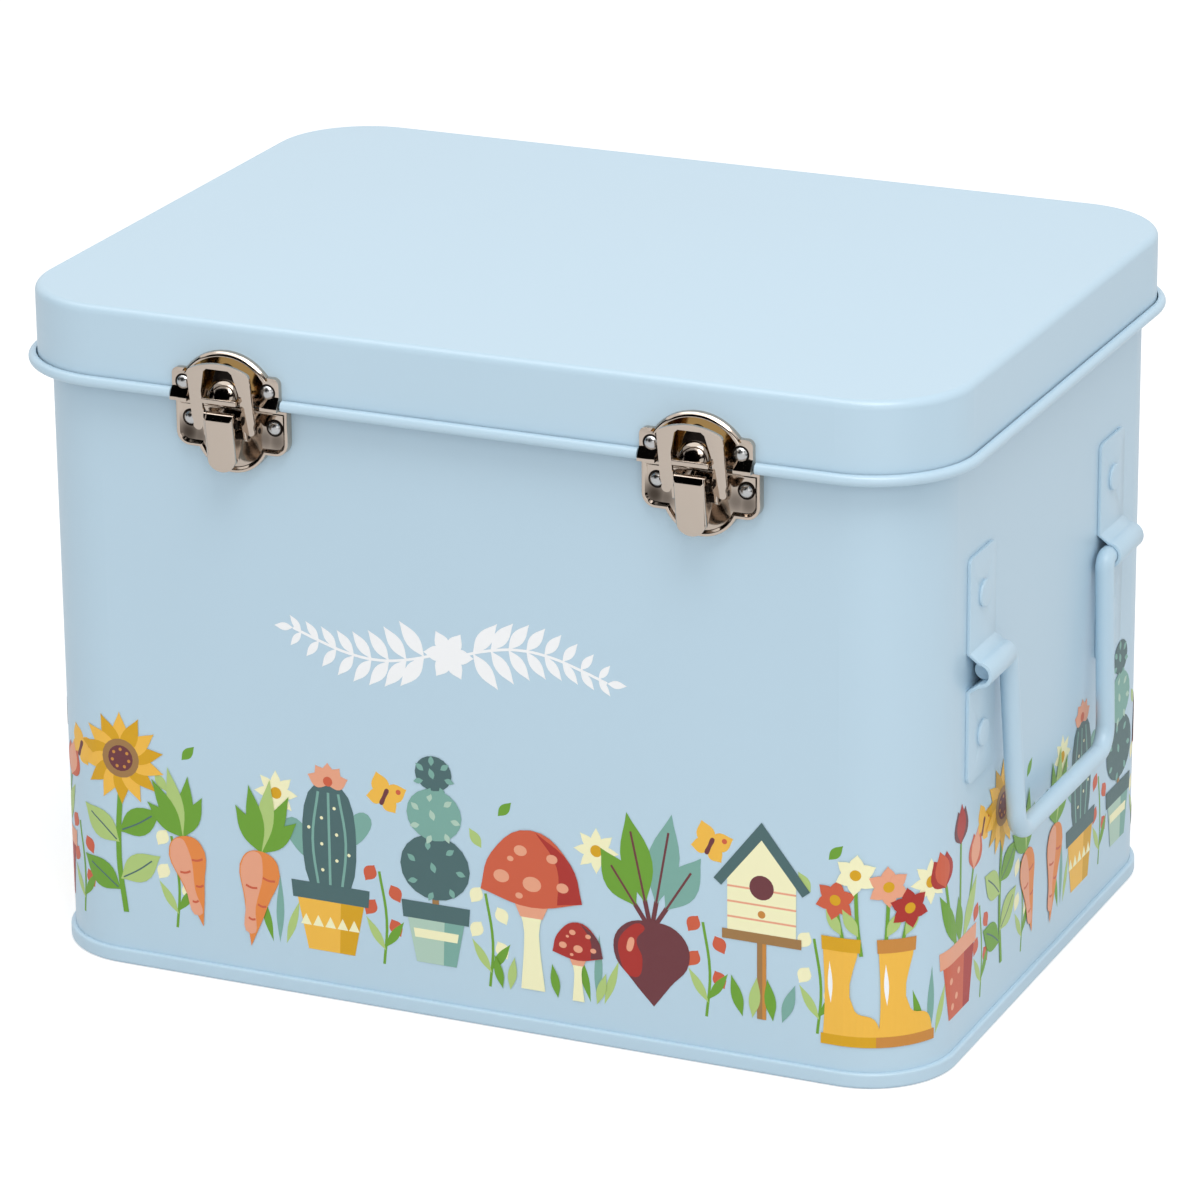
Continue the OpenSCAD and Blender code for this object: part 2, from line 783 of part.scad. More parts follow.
module hinge_body_rivets() {
    color(rivet_steel) both_hinges() at_leaf_rivets(-sheet_t, bead_r - leaf_rivet_down)
        rivet(rivet_head_r, rivet_head_h, sheet_t + leaf_t);
}

// ---- Handles, modelled once for the right-hand end and mirrored to the left

module at_side(side) {
    mirror([side < 0 ? 1 : 0, 0, 0]) translate([0, -handle_shift, handle_z]) children();
}

module both_sides() {
    for (side = [-1, 1]) at_side(side) children();
}

// A bracket's frame: on the wall, at the height of the pivot, +X out
module at_bracket(end) {
    translate([box_w / 2, end * bracket_spacing / 2, 0]) children();
}

module both_brackets() {
    for (end = [-1, 1]) at_bracket(end) children();
}

module at_bracket_rivets(o) {
    for (sz = [-1, 1])
        translate([o, 0, sz * bracket_rivet_spacing / 2]) rotate([0, 90, 0]) children();
}

module bracket_holes() {
    at_bracket_rivets(0) rivet_hole();
}

// The bracket's loop round the rod, solid: the extent out from the wall comes from r and base
module loop_block(r, base, w) {
    pivot_o = rod_x - box_w / 2;
    rotate([90, 0, 0]) linear_extrude(w, center = true) {
        translate([pivot_o, 0]) circle(r = r);
        polygon([
            [pivot_o, r], [pivot_o, -r],
            [0, -base], [-1, -base], [-1, base], [0, base]
        ]);
    }
}

module bracket() {
    bore_r = rod_r + rod_gap;
    color(paint) difference() {
        intersection() {
            union() {
                translate([0, -bracket_w / 2, -bracket_h / 2])
                    cube([bracket_t, bracket_w, bracket_h]);
                loop_block(bore_r + bracket_t, loop_base + bracket_t, bracket_w);
            }
            rotate([90, 0, 90]) linear_extrude(far)
                rounded_rect(bracket_w, bracket_h, bracket_corner_r);
        }
        loop_block(bore_r, loop_base, 2 * bracket_w);
        bracket_holes();
    }
}

module bracket_rivets() {
    color(paint) both_brackets() at_bracket_rivets(-sheet_t)
        rivet(bracket_head_r, bracket_head_h, sheet_t + bracket_t);
}

// A straight length of rod in the handle's plane, from one point to another and a little beyond
module rod_run(a, b) {
    run = b - a;
    translate([0, a[0], a[1]]) rotate([-90 + atan2(run[1], run[0]), 0, 0])
        translate([0, 0, -bend_lap]) cylinder(r = rod_r, h = norm(run) + 2 * bend_lap);
}

// A bend of the rod in the handle's plane, round a centre, over a range of directions
module rod_bend(centre, r, from, turn) {
    translate([0, centre[0], centre[1]]) rotate([90, 0, 90]) rotate([0, 0, from])
        rotate_extrude(angle = turn) translate([r, 0]) circle(r = rod_r + rod_swell);
}

// Half of the bail in its own plane: y along the box, z up, the pivot line at zero
module bail_half() {
    slope = atan2(leg_draw, handle_drop);
    top_c = [leg_y + top_bend_r * tan(45 - slope / 2), -top_bend_r];
    low_c = [grip_y - grip_bend_r * tan(45 - slope / 2), grip_bend_r - handle_drop];
    leg_dir = [cos(slope), -sin(slope)];
    rod_run([top_c[0], 0], [rod_end_y - bend_lap, 0]);
    rod_bend(top_c, top_bend_r, 90, 90 - slope);
    rod_run(low_c + grip_bend_r * leg_dir, top_c - top_bend_r * leg_dir);
    rod_bend(low_c, grip_bend_r, -90, 90 - slope);
}

// The straight grip between the two halves
module bail_grip() {
    slope = atan2(leg_draw, handle_drop);
    half = grip_y - grip_bend_r * tan(45 - slope / 2);
    rod_run([-half, -handle_drop], [half, -handle_drop]);
}

module handle() {
    color(paint) translate([rod_x, 0, 0]) rotate([0, -handle_lean, 0]) {
        bail_half();
        mirror([0, 1, 0]) bail_half();
        bail_grip();
    }
}

// ---- Dividers, halved into each other where they cross

module divider_sheet(l) {
    r = divider_corner_r;
    translate([-l / 2, 0]) square([l, divider_h - r]);
    translate([-l / 2 + r, 0]) square([l - 2 * r, divider_h]);
    for (sx = [-1, 1]) translate([sx * (l / 2 - r), divider_h - r]) circle(r = r);
}

slot_w = divider_t + 2 * side_gap;

module divider_long() {
    l = box_w - 2 * (sheet_t + seam_gap + sheet_t + divider_end_gap);
    color(paint) translate([0, divider_t / 2, floor_z]) rotate([90, 0, 0])
        linear_extrude(divider_t) difference() {
            divider_sheet(l);
            for (i = [-1:1]) translate([i * divider_pitch - slot_w / 2, divider_h / 2])
                square([slot_w, divider_h]);
        }
}

module divider_cross(i) {
    l = box_d - 2 * (sheet_t + seam_gap + sheet_t + divider_end_gap);
    color(paint) translate([i * divider_pitch - divider_t / 2, 0, floor_z]) rotate([90, 0, 90])
        linear_extrude(divider_t) difference() {
            divider_sheet(l);
            translate([-slot_w / 2, -1]) square([slot_w, 1 + divider_h / 2]);
        }
}

// ---- Nodes

body_wall();
base_pan();
at_side(1) at_bracket(-1) bracket();  // bracket_right_front
at_side(1) at_bracket(1) bracket();  // bracket_right_rear
at_side(-1) at_bracket(-1) bracket();  // bracket_left_front
at_side(-1) at_bracket(1) bracket();  // bracket_left_rear
at_side(1) bracket_rivets();  // bracket_rivets_right
at_side(-1) bracket_rivets();  // bracket_rivets_left
at_latch(-1) latch_base();  // latch_base_left
at_latch(1) latch_base();  // latch_base_right
latch_base_rivets();
at_latch(-1) lever_pin();  // lever_pin_left
at_latch(1) lever_pin();  // lever_pin_right
at_hinge(-1) hinge_leaf_body();  // hinge_leaf_body_left
at_hinge(1) hinge_leaf_body();  // hinge_leaf_body_right
hinge_body_rivets();
at_hinge(-1) hinge_pin();  // hinge_pin_left
at_hinge(1) hinge_pin();  // hinge_pin_right
divider_long();
divider_cross(-1);  // divider_cross_left
divider_cross(0);  // divider_cross_middle
divider_cross(1);  // divider_cross_right
lid_shell();
at_latch(-1) keeper();  // keeper_left
at_latch(1) keeper();  // keeper_right
keeper_rivets();
at_hinge(-1) hinge_leaf_lid();  // hinge_leaf_lid_left
at_hinge(1) hinge_leaf_lid();  // hinge_leaf_lid_right
hinge_lid_rivets();
at_latch(-1) latch_lever();  // latch_lever_left
at_latch(1) latch_lever();  // latch_lever_right
at_latch(-1) loop_pin();  // loop_pin_left
at_latch(1) loop_pin();  // loop_pin_right
at_latch(-1) latch_loop();  // latch_loop_left
at_latch(1) latch_loop();  // latch_loop_right
at_side(1) handle();  // handle_right
at_side(-1) handle();  // handle_left
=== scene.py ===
# %% [markdown]
# # A seed packet box in painted steel
#
# The box is drawn sheet steel: a wall with round corners, a pan seamed on at the foot,
# a hinged lid, two nickel draw latches and two bent rod handles. The engineering model
# is loaded first. It gives every piece its place, and this lesson gives it its looks.

# %% Load the frame
import json
import math
import bpy
from mathutils import Matrix, Vector

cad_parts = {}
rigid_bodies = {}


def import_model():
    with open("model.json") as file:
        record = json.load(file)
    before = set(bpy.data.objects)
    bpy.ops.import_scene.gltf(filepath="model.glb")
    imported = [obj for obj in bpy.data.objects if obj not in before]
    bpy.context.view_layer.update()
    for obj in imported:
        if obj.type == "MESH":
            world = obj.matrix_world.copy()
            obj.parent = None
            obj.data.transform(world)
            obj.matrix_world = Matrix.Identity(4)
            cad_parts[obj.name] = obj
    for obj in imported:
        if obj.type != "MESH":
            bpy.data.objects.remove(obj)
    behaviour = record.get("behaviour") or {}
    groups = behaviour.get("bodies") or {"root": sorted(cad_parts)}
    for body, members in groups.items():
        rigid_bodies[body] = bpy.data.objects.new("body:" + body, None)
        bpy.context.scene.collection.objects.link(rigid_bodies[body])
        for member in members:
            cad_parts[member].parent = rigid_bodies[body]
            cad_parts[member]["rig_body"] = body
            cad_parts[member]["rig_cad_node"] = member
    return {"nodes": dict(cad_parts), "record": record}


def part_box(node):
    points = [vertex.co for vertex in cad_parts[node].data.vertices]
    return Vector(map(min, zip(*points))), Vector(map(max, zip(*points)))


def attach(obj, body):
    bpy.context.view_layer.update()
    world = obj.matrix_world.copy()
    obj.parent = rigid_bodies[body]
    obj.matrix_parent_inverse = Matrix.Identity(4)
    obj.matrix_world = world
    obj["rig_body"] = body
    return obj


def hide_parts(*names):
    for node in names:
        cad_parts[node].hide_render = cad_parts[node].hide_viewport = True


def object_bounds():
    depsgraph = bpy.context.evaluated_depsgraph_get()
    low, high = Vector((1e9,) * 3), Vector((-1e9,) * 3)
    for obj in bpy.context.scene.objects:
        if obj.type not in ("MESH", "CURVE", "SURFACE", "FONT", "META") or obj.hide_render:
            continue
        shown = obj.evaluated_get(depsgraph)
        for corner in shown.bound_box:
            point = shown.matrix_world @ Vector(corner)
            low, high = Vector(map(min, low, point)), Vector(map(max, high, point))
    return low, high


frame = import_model()
cad_low, cad_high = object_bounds()
bpy.ops.object.select_all(action="DESELECT")

# %% [markdown]
# ## The sizes that everything follows
#
# All lengths are in metres. The body's height comes from the frame. Its width, depth and
# corner radius are the ones that the wall was drawn to.

# %% Name the main sizes
MM = 0.001
BODY_WIDTH = 300 * MM
BODY_DEPTH = 215 * MM
BODY_FACE = -BODY_DEPTH / 2
CORNER_RADIUS = 27 * MM
BOX_HEIGHT = cad_high[2]
print("height of the box:", round(BOX_HEIGHT / MM, 1), "mm")

# %% [markdown]
# ## The camera
#
# The photograph was taken from the right and a little above, with a long lens: the box's
# far edges are hardly shorter than its near ones. The camera's place is given as a turn
# round the box, a rise, a distance and a small step sideways and down, all worked out
# from the box's edges in the picture. Its axes are written straight into its matrix.

# %% Place the camera
SENSOR = 36
PICTURE_SIZE = 1200
FOCAL_PIXELS = 5959.8
CAMERA_TURN = 0.4199
CAMERA_RISE = 0.3465
CAMERA_ROLL = -0.0095
CAMERA_DISTANCE = 1912.19 * MM
CAMERA_STEP = (-1.955 * MM, -5.895 * MM)

back = Vector((math.sin(CAMERA_TURN) * math.cos(CAMERA_RISE),
               -math.cos(CAMERA_TURN) * math.cos(CAMERA_RISE),
               math.sin(CAMERA_RISE)))
level = Vector((math.cos(CAMERA_TURN), math.sin(CAMERA_TURN), 0))
upright = back.cross(level)
right = math.cos(CAMERA_ROLL) * level + math.sin(CAMERA_ROLL) * upright
up = -math.sin(CAMERA_ROLL) * level + math.cos(CAMERA_ROLL) * upright
place = (Vector((0, 0, BOX_HEIGHT / 2)) + CAMERA_DISTANCE * back
         + CAMERA_STEP[0] * right + CAMERA_STEP[1] * up)

bpy.ops.object.camera_add()
camera = bpy.context.object
camera.name = "photo_camera"
camera.data.sensor_fit = "HORIZONTAL"
camera.data.sensor_width = SENSOR
camera.data.lens = SENSOR * FOCAL_PIXELS / PICTURE_SIZE
camera.matrix_world = Matrix((
    (right.x, up.x, back.x, place.x),
    (right.y, up.y, back.y, place.y),
    (right.z, up.z, back.z, place.z),
    (0, 0, 0, 1)))
bpy.context.scene.camera = camera
print("camera at", [round(v, 3) for v in place], "lens", round(camera.data.lens, 1), "mm")

# %% [markdown]
# ## Materials
#
# Colours are written as the hex values that a paint card gives, and one function turns
# them to the linear numbers that the shader works in. Another small function adds one
# node, sets its values and joins its inputs. Every material below is built with it.

# %% Helpers for materials
def linear(hex_colour):
    parts = [int(hex_colour[i:i + 2], 16) / 255 for i in (1, 3, 5)]
    return tuple(c / 12.92 if c <= 0.04045 else ((c + 0.055) / 1.055) ** 2.4
                 for c in parts) + (1,)


def add(tree, kind, settings=None, **links):
    """A new node. Inputs go by name, or by number where two have one name, as _0 and _1."""
    node = tree.nodes.new("ShaderNode" + kind)
    for name, value in (settings or {}).items():
        if isinstance(name, int) or name in node.inputs:
            node.inputs[name].default_value = value
        else:
            setattr(node, name, value)
    for name, source in links.items():
        key = int(name[1:]) if name[1:].isdigit() else name.replace("_", " ")
        tree.links.new(source, node.inputs[key])
    return node


def new_material(name):
    material = bpy.data.materials.new(name)
    material.use_nodes = True
    material.node_tree.nodes.clear()
    return material, material.node_tree


def finish_material(tree, shader):
    add(tree, "OutputMaterial", Surface=shader.outputs[0])


def paint(piece, material):
    piece.data.materials.clear()
    piece.data.materials.append(material)


print("white is", [round(c, 3) for c in linear("#ffffff")])

# %% [markdown]
# ### Pale blue enamel
#
# The sheet is sprayed and baked. Enamel is glossy under a lamp but not a mirror, its
# film has a faint orange peel a few millimetres across, and handling leaves patches that
# are a little duller. So: one pale blue, a roughness that wanders slightly, and a very
# low bump.

# %% Make the enamel
def make_enamel():
    material, tree = new_material("baked_blue_enamel")
    place = add(tree, "TexCoord").outputs["Object"]
    patches = add(tree, "TexNoise", {"Scale": 9.0, "Detail": 2.0}, Vector=place)
    tint = add(tree, "MixRGB", {"Color1": linear("#c0d9e8"), "Color2": linear("#c4ddec")},
               Fac=patches.outputs[0])
    gloss = add(tree, "MapRange", {"To Min": 0.30, "To Max": 0.40}, Value=patches.outputs[0])
    peel = add(tree, "TexNoise", {"Scale": 420.0, "Detail": 1.0}, Vector=place)
    bump = add(tree, "Bump", {"Strength": 0.05, "Distance": 0.0001}, Height=peel.outputs[0])
    shader = add(tree, "BsdfPrincipled", {"IOR": 1.5},
                 Base_Color=tint.outputs[0], Roughness=gloss.outputs[0], Normal=bump.outputs[0])
    finish_material(tree, shader)
    return material


enamel = make_enamel()
print("made", enamel.name)

# %% [markdown]
# ### Polished nickel plate
#
# The latches are pressed from sheet, polished and nickel plated. Nickel is a warm grey
# mirror. A roller and a polishing mop leave a slight waviness, which is what bends the
# reflections, so the bump matters more than the colour.

# %% Make the nickel
def make_nickel(name, colour, rough_low, rough_high):
    material, tree = new_material(name)
    place = add(tree, "TexCoord").outputs["Object"]
    haze = add(tree, "TexNoise", {"Scale": 160.0, "Detail": 3.0}, Vector=place)
    gloss = add(tree, "MapRange", {"To Min": rough_low, "To Max": rough_high},
                Value=haze.outputs[0])
    wave = add(tree, "TexNoise", {"Scale": 90.0, "Detail": 0.0}, Vector=place)
    bump = add(tree, "Bump", {"Strength": 0.12, "Distance": 0.0004}, Height=wave.outputs[0])
    shader = add(tree, "BsdfPrincipled", {"Base Color": linear(colour), "Metallic": 1.0},
                 Roughness=gloss.outputs[0], Normal=bump.outputs[0])
    finish_material(tree, shader)
    return material


nickel = make_nickel("polished_nickel", "#c6b8ab", 0.05, 0.13)
rivet_metal = make_nickel("bright_rivet_steel", "#c2c2c2", 0.20, 0.30)
# Near black nickel: painted shade for the latch pins, the catch necks and the rivet rings.
nickel_painted_shade = make_nickel("near_black_painted_shade", "#241f1c", 0.35, 0.50)
# Darker nickel for the catch domes: a painted dark reflection.
dome_nickel_painted_dark = make_nickel("nickel_painted_dark_reflection", "#93897f", 0.05, 0.13)
# Darker gold nickel: a painted warm reflection in the shade inside the keeper hoods.
hood_nickel_painted_gold = make_nickel("nickel_painted_warm_reflection", "#a18150", 0.08, 0.18)
print("made", nickel.name, "and", rivet_metal.name)

# %% [markdown]
# ## Dress the engineering pieces
#
# Each node of the frame already has the slot that its finish comes from, so the slot
# decides its material. The deep latch pins are painted near black, as painted shade.

# %% Give each node its finish
finish_of_slot = {"painted_steel": enamel, "nickel_plate": nickel, "rivet_steel": rivet_metal}
slot_of_node = {s["node"]: s["material_slot"] for s in frame["record"]["subparts"]}
for name, node in frame["nodes"].items():
    paint(node, finish_of_slot[slot_of_node[name]])
# Painted shade: the pins deep between other pieces get the near black nickel.
for name in ("lever_pin_left", "lever_pin_right", "loop_pin_left", "loop_pin_right"):
    paint(frame["nodes"][name], nickel_painted_shade)
print("dressed", len(slot_of_node), "nodes")

# %% [markdown]
# ## Pressed pieces with rounded edges
#
# A press leaves a sheet piece with a small round on its upper edge, and plating is only
# bright where light can run along that round. The engineering pieces have sharp edges. So
# each one that shows is copied, its loose triangles are merged into real faces, and a
# bevel rounds every edge that is sharper than a bend.

# %% Round the edges of the pressed pieces
FLAT = math.radians(0.5)
SHARP = math.radians(35)


def select_only(*pieces):
    bpy.ops.object.select_all(action="DESELECT")
    for piece in pieces:
        piece.select_set(True)
    bpy.context.view_layer.objects.active = pieces[0]


def copy_of(node, name):
    select_only(frame["nodes"][node])
    bpy.ops.object.duplicate()
    piece = bpy.context.object
    piece.name = name
    del piece["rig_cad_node"]
    return piece


def weld(distance, slivers=0, flats=0):
    """Merges near points, drops thin faces and joins faces that lie in one plane."""
    bpy.ops.object.mode_set(mode="EDIT")
    bpy.ops.mesh.select_all(action="SELECT")
    bpy.ops.mesh.remove_doubles(threshold=distance)
    if slivers:
        bpy.ops.mesh.dissolve_degenerate(threshold=slivers)
    if flats:
        bpy.ops.mesh.dissolve_limited(angle_limit=flats)
    bpy.ops.object.mode_set(mode="OBJECT")


def bevel_edges(piece, radius, segments):
    bevel = piece.modifiers.new("edge", "BEVEL")
    bevel.width = radius
    bevel.segments = segments
    bevel.limit_method = "ANGLE"
    bevel.angle_limit = SHARP
    bpy.ops.object.modifier_apply(modifier=bevel.name)


def round_edges(node, radius, shape=None):
    piece = copy_of(node, node + "_pressed")
    weld(0.002 * MM, flats=FLAT)
    if shape:
        shape(piece)
    bevel_edges(piece, radius, 2)
    bpy.ops.object.shade_smooth_by_angle(angle=SHARP)
    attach(piece, frame["nodes"][node]["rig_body"])
    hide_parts(node)
    return piece


for node in ("latch_loop_left", "latch_loop_right"):
    round_edges(node, 0.36 * MM)
for node in [n for n in frame["nodes"] if n.startswith("bracket_") and "rivets" not in n]:
    round_edges(node, 0.22 * MM)
for node in ("keeper_rivets", "hinge_body_rivets", "hinge_lid_rivets"):
    round_edges(node, 0.12 * MM)
print("rounded the loops, brackets and small rivets")

# %% [markdown]
# ### The levers
#
# The lever is folded from one sheet. Its sides roll back in tight bends. Its upper edge
# first slopes back, where the thumb rests, and then rolls over. The flat piece is stood
# upright, cut in strips along each bend, and the strips are pulled back to the bend.

# %% Roll the levers
SKIRT_FOOT = BOX_HEIGHT - 25.6 * MM
LEVER_PIN = Vector((0, BODY_FACE - 9.3 * MM, SKIRT_FOOT - 4.8 * MM))
LEVER_LEAN = math.radians(8)
LEVER_HALF = 4.95 * MM
LEVER_FACE = LEVER_PIN.y - 3.3 * MM
LEVER_TOP = LEVER_PIN.z + 3.9 * MM
SIDE_BEND = 1.1 * MM
THUMB_SLOPE = [(0, 1.9), (0.06, 1.65), (0.16, 1.42), (0.32, 1.2), (0.55, 1.0), (1.0, 0.7),
               (1.5, 0.38), (1.9, 0.14), (2.15, 0.04), (2.4, 0)]
UP = (0, 0, 1)


def latch_middle(name):
    node = name.replace("_pressed", "")
    low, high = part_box(node)
    return (low[0] + high[0]) / 2


def cut_through(planes, **settings):
    """Cuts all faces by planes, each given as a place and the direction square to it."""
    bpy.ops.object.mode_set(mode="EDIT")
    for place, across in planes:
        bpy.ops.mesh.select_all(action="SELECT")
        bpy.ops.mesh.bisect(plane_co=place, plane_no=across, **settings)
    bpy.ops.object.mode_set(mode="OBJECT")


def roll_side(lever, middle, way):
    """The bend's middle line is upright. What lies beyond its radius is pulled back to it."""
    line = Vector((middle + way * (LEVER_HALF - SIDE_BEND), LEVER_FACE + SIDE_BEND, 0))
    turns = [math.radians(turn) for turn in range(0, 100, 10)]
    cut_through([(line, (way * math.sin(turn), math.cos(turn), 0)) for turn in turns])
    for vertex in lever.data.vertices:
        aside, forward = (vertex.co.x - line.x) * way, line.y - vertex.co.y
        off = math.hypot(aside, forward)
        if min(aside, forward) > 0 and off > SIDE_BEND:
            vertex.co.x = line.x + way * aside * SIDE_BEND / off
            vertex.co.y = line.y - forward * SIDE_BEND / off


def slope_top(lever):
    """THUMB_SLOPE pairs a drop from the upper edge with how far the sheet is pulled back."""
    cut_through([((0, 0, LEVER_TOP - drop * MM), UP) for drop, pull in THUMB_SLOPE[1:]])
    for vertex in lever.data.vertices:
        drop = (LEVER_TOP - vertex.co.z) / MM
        for (above, pull), (below, less) in zip(THUMB_SLOPE, THUMB_SLOPE[1:]):
            if above - 0.01 <= drop < below:
                pulled = pull + (less - pull) * max(drop - above, 0) / (below - above)
                vertex.co.y = max(vertex.co.y, LEVER_FACE + pulled * MM)


def roll_lever(lever):
    to_pin = Matrix.Translation(LEVER_PIN)
    stand = to_pin @ Matrix.Rotation(-LEVER_LEAN, 4, "X") @ to_pin.inverted()
    lever.data.transform(stand)
    for way in (-1, 1):
        roll_side(lever, latch_middle(lever.name), way)
    slope_top(lever)
    lever.data.transform(stand.inverted())


for node in ("latch_lever_left", "latch_lever_right"):
    round_edges(node, 0.15 * MM, shape=roll_lever)
    print(node, "rolled about", round(latch_middle(node) / MM, 2), "mm")

# %% [markdown]
# ### The keepers
#
# A keeper is one pressing on the lid. Its hood is drawn round at the front, and the lower
# half of each ear swings out over the bead and ends in an upright lip. Inside the hood the
# nickel is painted a darker gold: a painted warm reflection of the loop, in the hood's shade.

# %% Press the keepers
SKIRT_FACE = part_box("keeper_left")[1][1]
PLATE_FACE = SKIRT_FACE - 0.8 * MM
EAR_FACE = SKIRT_FACE - 2 * MM
EAR_BEND = SKIRT_FOOT + 4.5 * MM
EAR_LIP = SKIRT_FOOT + 1.3 * MM
HOOD_RADIUS = 17.6 * MM
HOOD_MIDDLE = SKIRT_FOOT + 17.1 * MM - HOOD_RADIUS
HOOD_DEPTH = 3.6 * MM
HOOD_CURVE = [(0, 0), (1.35, 0.2), (1.55, 0.4), (1.75, 0.56), (1.95, 0.74), (2.1, 0.94),
              (2.2, 1.13), (2.27, 1.34), (2.3, 1.5)]
HOOD_REACH = HOOD_CURVE[-1][0] * MM
CATCH_REACH = 6.4 * MM
EAR_SWING = 0.62


def flatten_catch(keeper, middle):
    """The catch is made as its own piece, so its bulge goes back into the plate."""
    for vertex in keeper.data.vertices:
        inside = abs(vertex.co.x - middle) < CATCH_REACH and vertex.co.z < HOOD_MIDDLE + 12 * MM
        if inside and vertex.co.y < PLATE_FACE:
            vertex.co.y = PLATE_FACE
    weld(0.01 * MM, slivers=0.01 * MM)


def swing_ears(keeper):
    cuts = [EAR_BEND + step * 0.25 * MM for step in (-1, 0, 1)]
    cuts += [EAR_LIP + step * 0.2 * MM for step in (-1, 0, 1)]
    cut_through([((0, 0, cut), UP) for cut in cuts])
    for vertex in keeper.data.vertices:
        if abs(vertex.co.y - EAR_FACE) < 0.05 * MM:
            below = min(max(EAR_BEND - vertex.co.z, 0), EAR_BEND - EAR_LIP)
            vertex.co.y -= EAR_SWING * below


def round_hood(keeper, middle):
    """The brim slopes in from the plate, turns down at its front edge and ends thin."""
    cuts = [SKIRT_FACE - out * MM / HOOD_REACH * HOOD_DEPTH for out, drop in HOOD_CURVE[1:-1]]
    cut_through([((0, cut, 0), (0, 1, 0)) for cut in cuts])
    for vertex in keeper.data.vertices:
        x, z = vertex.co.x - middle, vertex.co.z - HOOD_MIDDLE
        off = math.hypot(x, z)
        out = (SKIRT_FACE - vertex.co.y) / HOOD_DEPTH * HOOD_REACH / MM
        if z > 0 and off > HOOD_RADIUS - 1 * MM and vertex.co.y < EAR_FACE - 0.1 * MM:
            drop = max(point for point in HOOD_CURVE if point[0] <= out + 0.01)[1]
            if off < HOOD_RADIUS - 0.3 * MM:
                drop = max(drop - 0.7, 0)
            drawn = (off - drop * MM) / off
            vertex.co.x, vertex.co.z = middle + x * drawn, HOOD_MIDDLE + z * drawn
            vertex.co.y = SKIRT_FACE - out * MM


def press_keeper(keeper):
    middle = latch_middle(keeper.name)
    flatten_catch(keeper, middle)
    round_hood(keeper, middle)
    swing_ears(keeper)


for node in ("keeper_left", "keeper_right"):
    keeper = round_edges(node, 0.15 * MM, shape=press_keeper)
    middle = latch_middle(node)
    # Painted reflection: the plate behind the loop and the hood's inside get the darker gold
    # nickel.
    keeper.data.materials.append(hood_nickel_painted_gold)
    for face in keeper.data.polygons:
        spoke = Vector((face.center.x - middle, 0, face.center.z - HOOD_MIDDLE))
        behind = abs(face.center.y - PLATE_FACE) < 0.05 * MM and face.normal.y < -0.9
        inner = spoke.length < HOOD_RADIUS and face.normal.dot(spoke) < -0.3 * spoke.length
        if face.center.z > SKIRT_FOOT + 4 * MM and (behind or inner):
            face.material_index = 1
print("keepers pressed; hood reaches", HOOD_REACH / MM, "mm from the skirt")

# %% [markdown]
# ### The catches
#
# The loop snaps over a catch in the middle of each keeper. It has three steps: a wide dome
# that leans back on the plate, a smaller one on it, and a flat lip under both. Each dome is
# a sphere that is flattened, leant back and cut off at the lip. The domes are painted a
# darker nickel than the lip, a painted dark reflection. The neck behind them is painted
# near black, as painted shade.

# %% Press the catches
LIP_TOP = SKIRT_FOOT + 3.2 * MM
LIP_FOOT = SKIRT_FOOT + 1.5 * MM
LIP_SIZE = (11.8 * MM, 6.4 * MM, LIP_TOP - LIP_FOOT)
DOME_LEAN = math.radians(30)
SHARP_ON_HEADS = math.radians(40)


def dome_on_plate(middle, out, wide, thick, tall, lean=DOME_LEAN):
    """A flattened, leaning sphere that stands out from the plate, cut off at the lip."""
    bpy.ops.mesh.primitive_uv_sphere_add(
        segments=48, ring_count=32, radius=1, location=(middle, PLATE_FACE - out, LIP_TOP),
        rotation=(-lean, 0, 0), scale=(wide / 2, thick, tall))
    bpy.ops.object.transform_apply()
    cut_through([((0, 0, LIP_TOP - 0.1 * MM), UP)], clear_inner=True, use_fill=True)
    return bpy.context.object


def make_catch(middle):
    collar = dome_on_plate(middle, 1.2 * MM, 12.0 * MM, 2.4 * MM, 7.4 * MM)
    dome = dome_on_plate(middle, 2.5 * MM, 10.4 * MM, 2.9 * MM, 6.0 * MM)
    bpy.ops.mesh.primitive_cube_add(
        size=1, location=(middle, PLATE_FACE - 3 * MM, (LIP_TOP + LIP_FOOT) / 2), scale=LIP_SIZE)
    lip = bpy.context.object
    bpy.ops.object.transform_apply()
    bevel_edges(lip, 0.35 * MM, 3)
    # The domes' darker nickel is a painted dark reflection; the lip keeps the bright nickel.
    for piece, metal in ((collar, dome_nickel_painted_dark), (dome, dome_nickel_painted_dark), (lip, nickel)):
        paint(piece, metal)
    select_only(collar, dome, lip)
    bpy.ops.object.join()
    return collar


for side in ("left", "right"):
    middle = latch_middle(f"keeper_{side}")
    catch = make_catch(middle)
    catch.name = f"catch_{side}"
    # The neck is a near black piece of painted shade behind the domes.
    neck = dome_on_plate(middle, 0.1 * MM, 10.4 * MM, 1.2 * MM, 9.8 * MM, lean=0)
    neck.name = f"catch_neck_{side}"
    paint(neck, nickel_painted_shade)
    for piece in (catch, neck):
        select_only(piece)
        bpy.ops.object.shade_smooth_by_angle(angle=SHARP_ON_HEADS)
        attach(piece, "lid")
print("catches stand out to", round(min(v.co.y for v in catch.data.vertices) / MM, 1), "mm")

# %% [markdown]
# ### Painted shade on the base plates
#
# Under the rivets and behind the loop the nickel is painted darker: painted shade and dark
# reflection. Each patch is round and fades out softly: its place, its reach and how dark it
# gets. Where two patches meet, the darker one counts.

# %% Make the nickel with painted shade
PAINTED_SHADE_PATCHES = [(-15.2, -11.6, 7.8, 0.95), (-11.6, -12.2, 6.2, 0.75), (15, -11, 6.6, 0.72),
                (11, -10.6, 6.4, 0.68), (0, -3, 7.5, 0.97), (7.2, -8.5, 3.4, 0.8),
                (7, -13, 3.2, 0.8)]


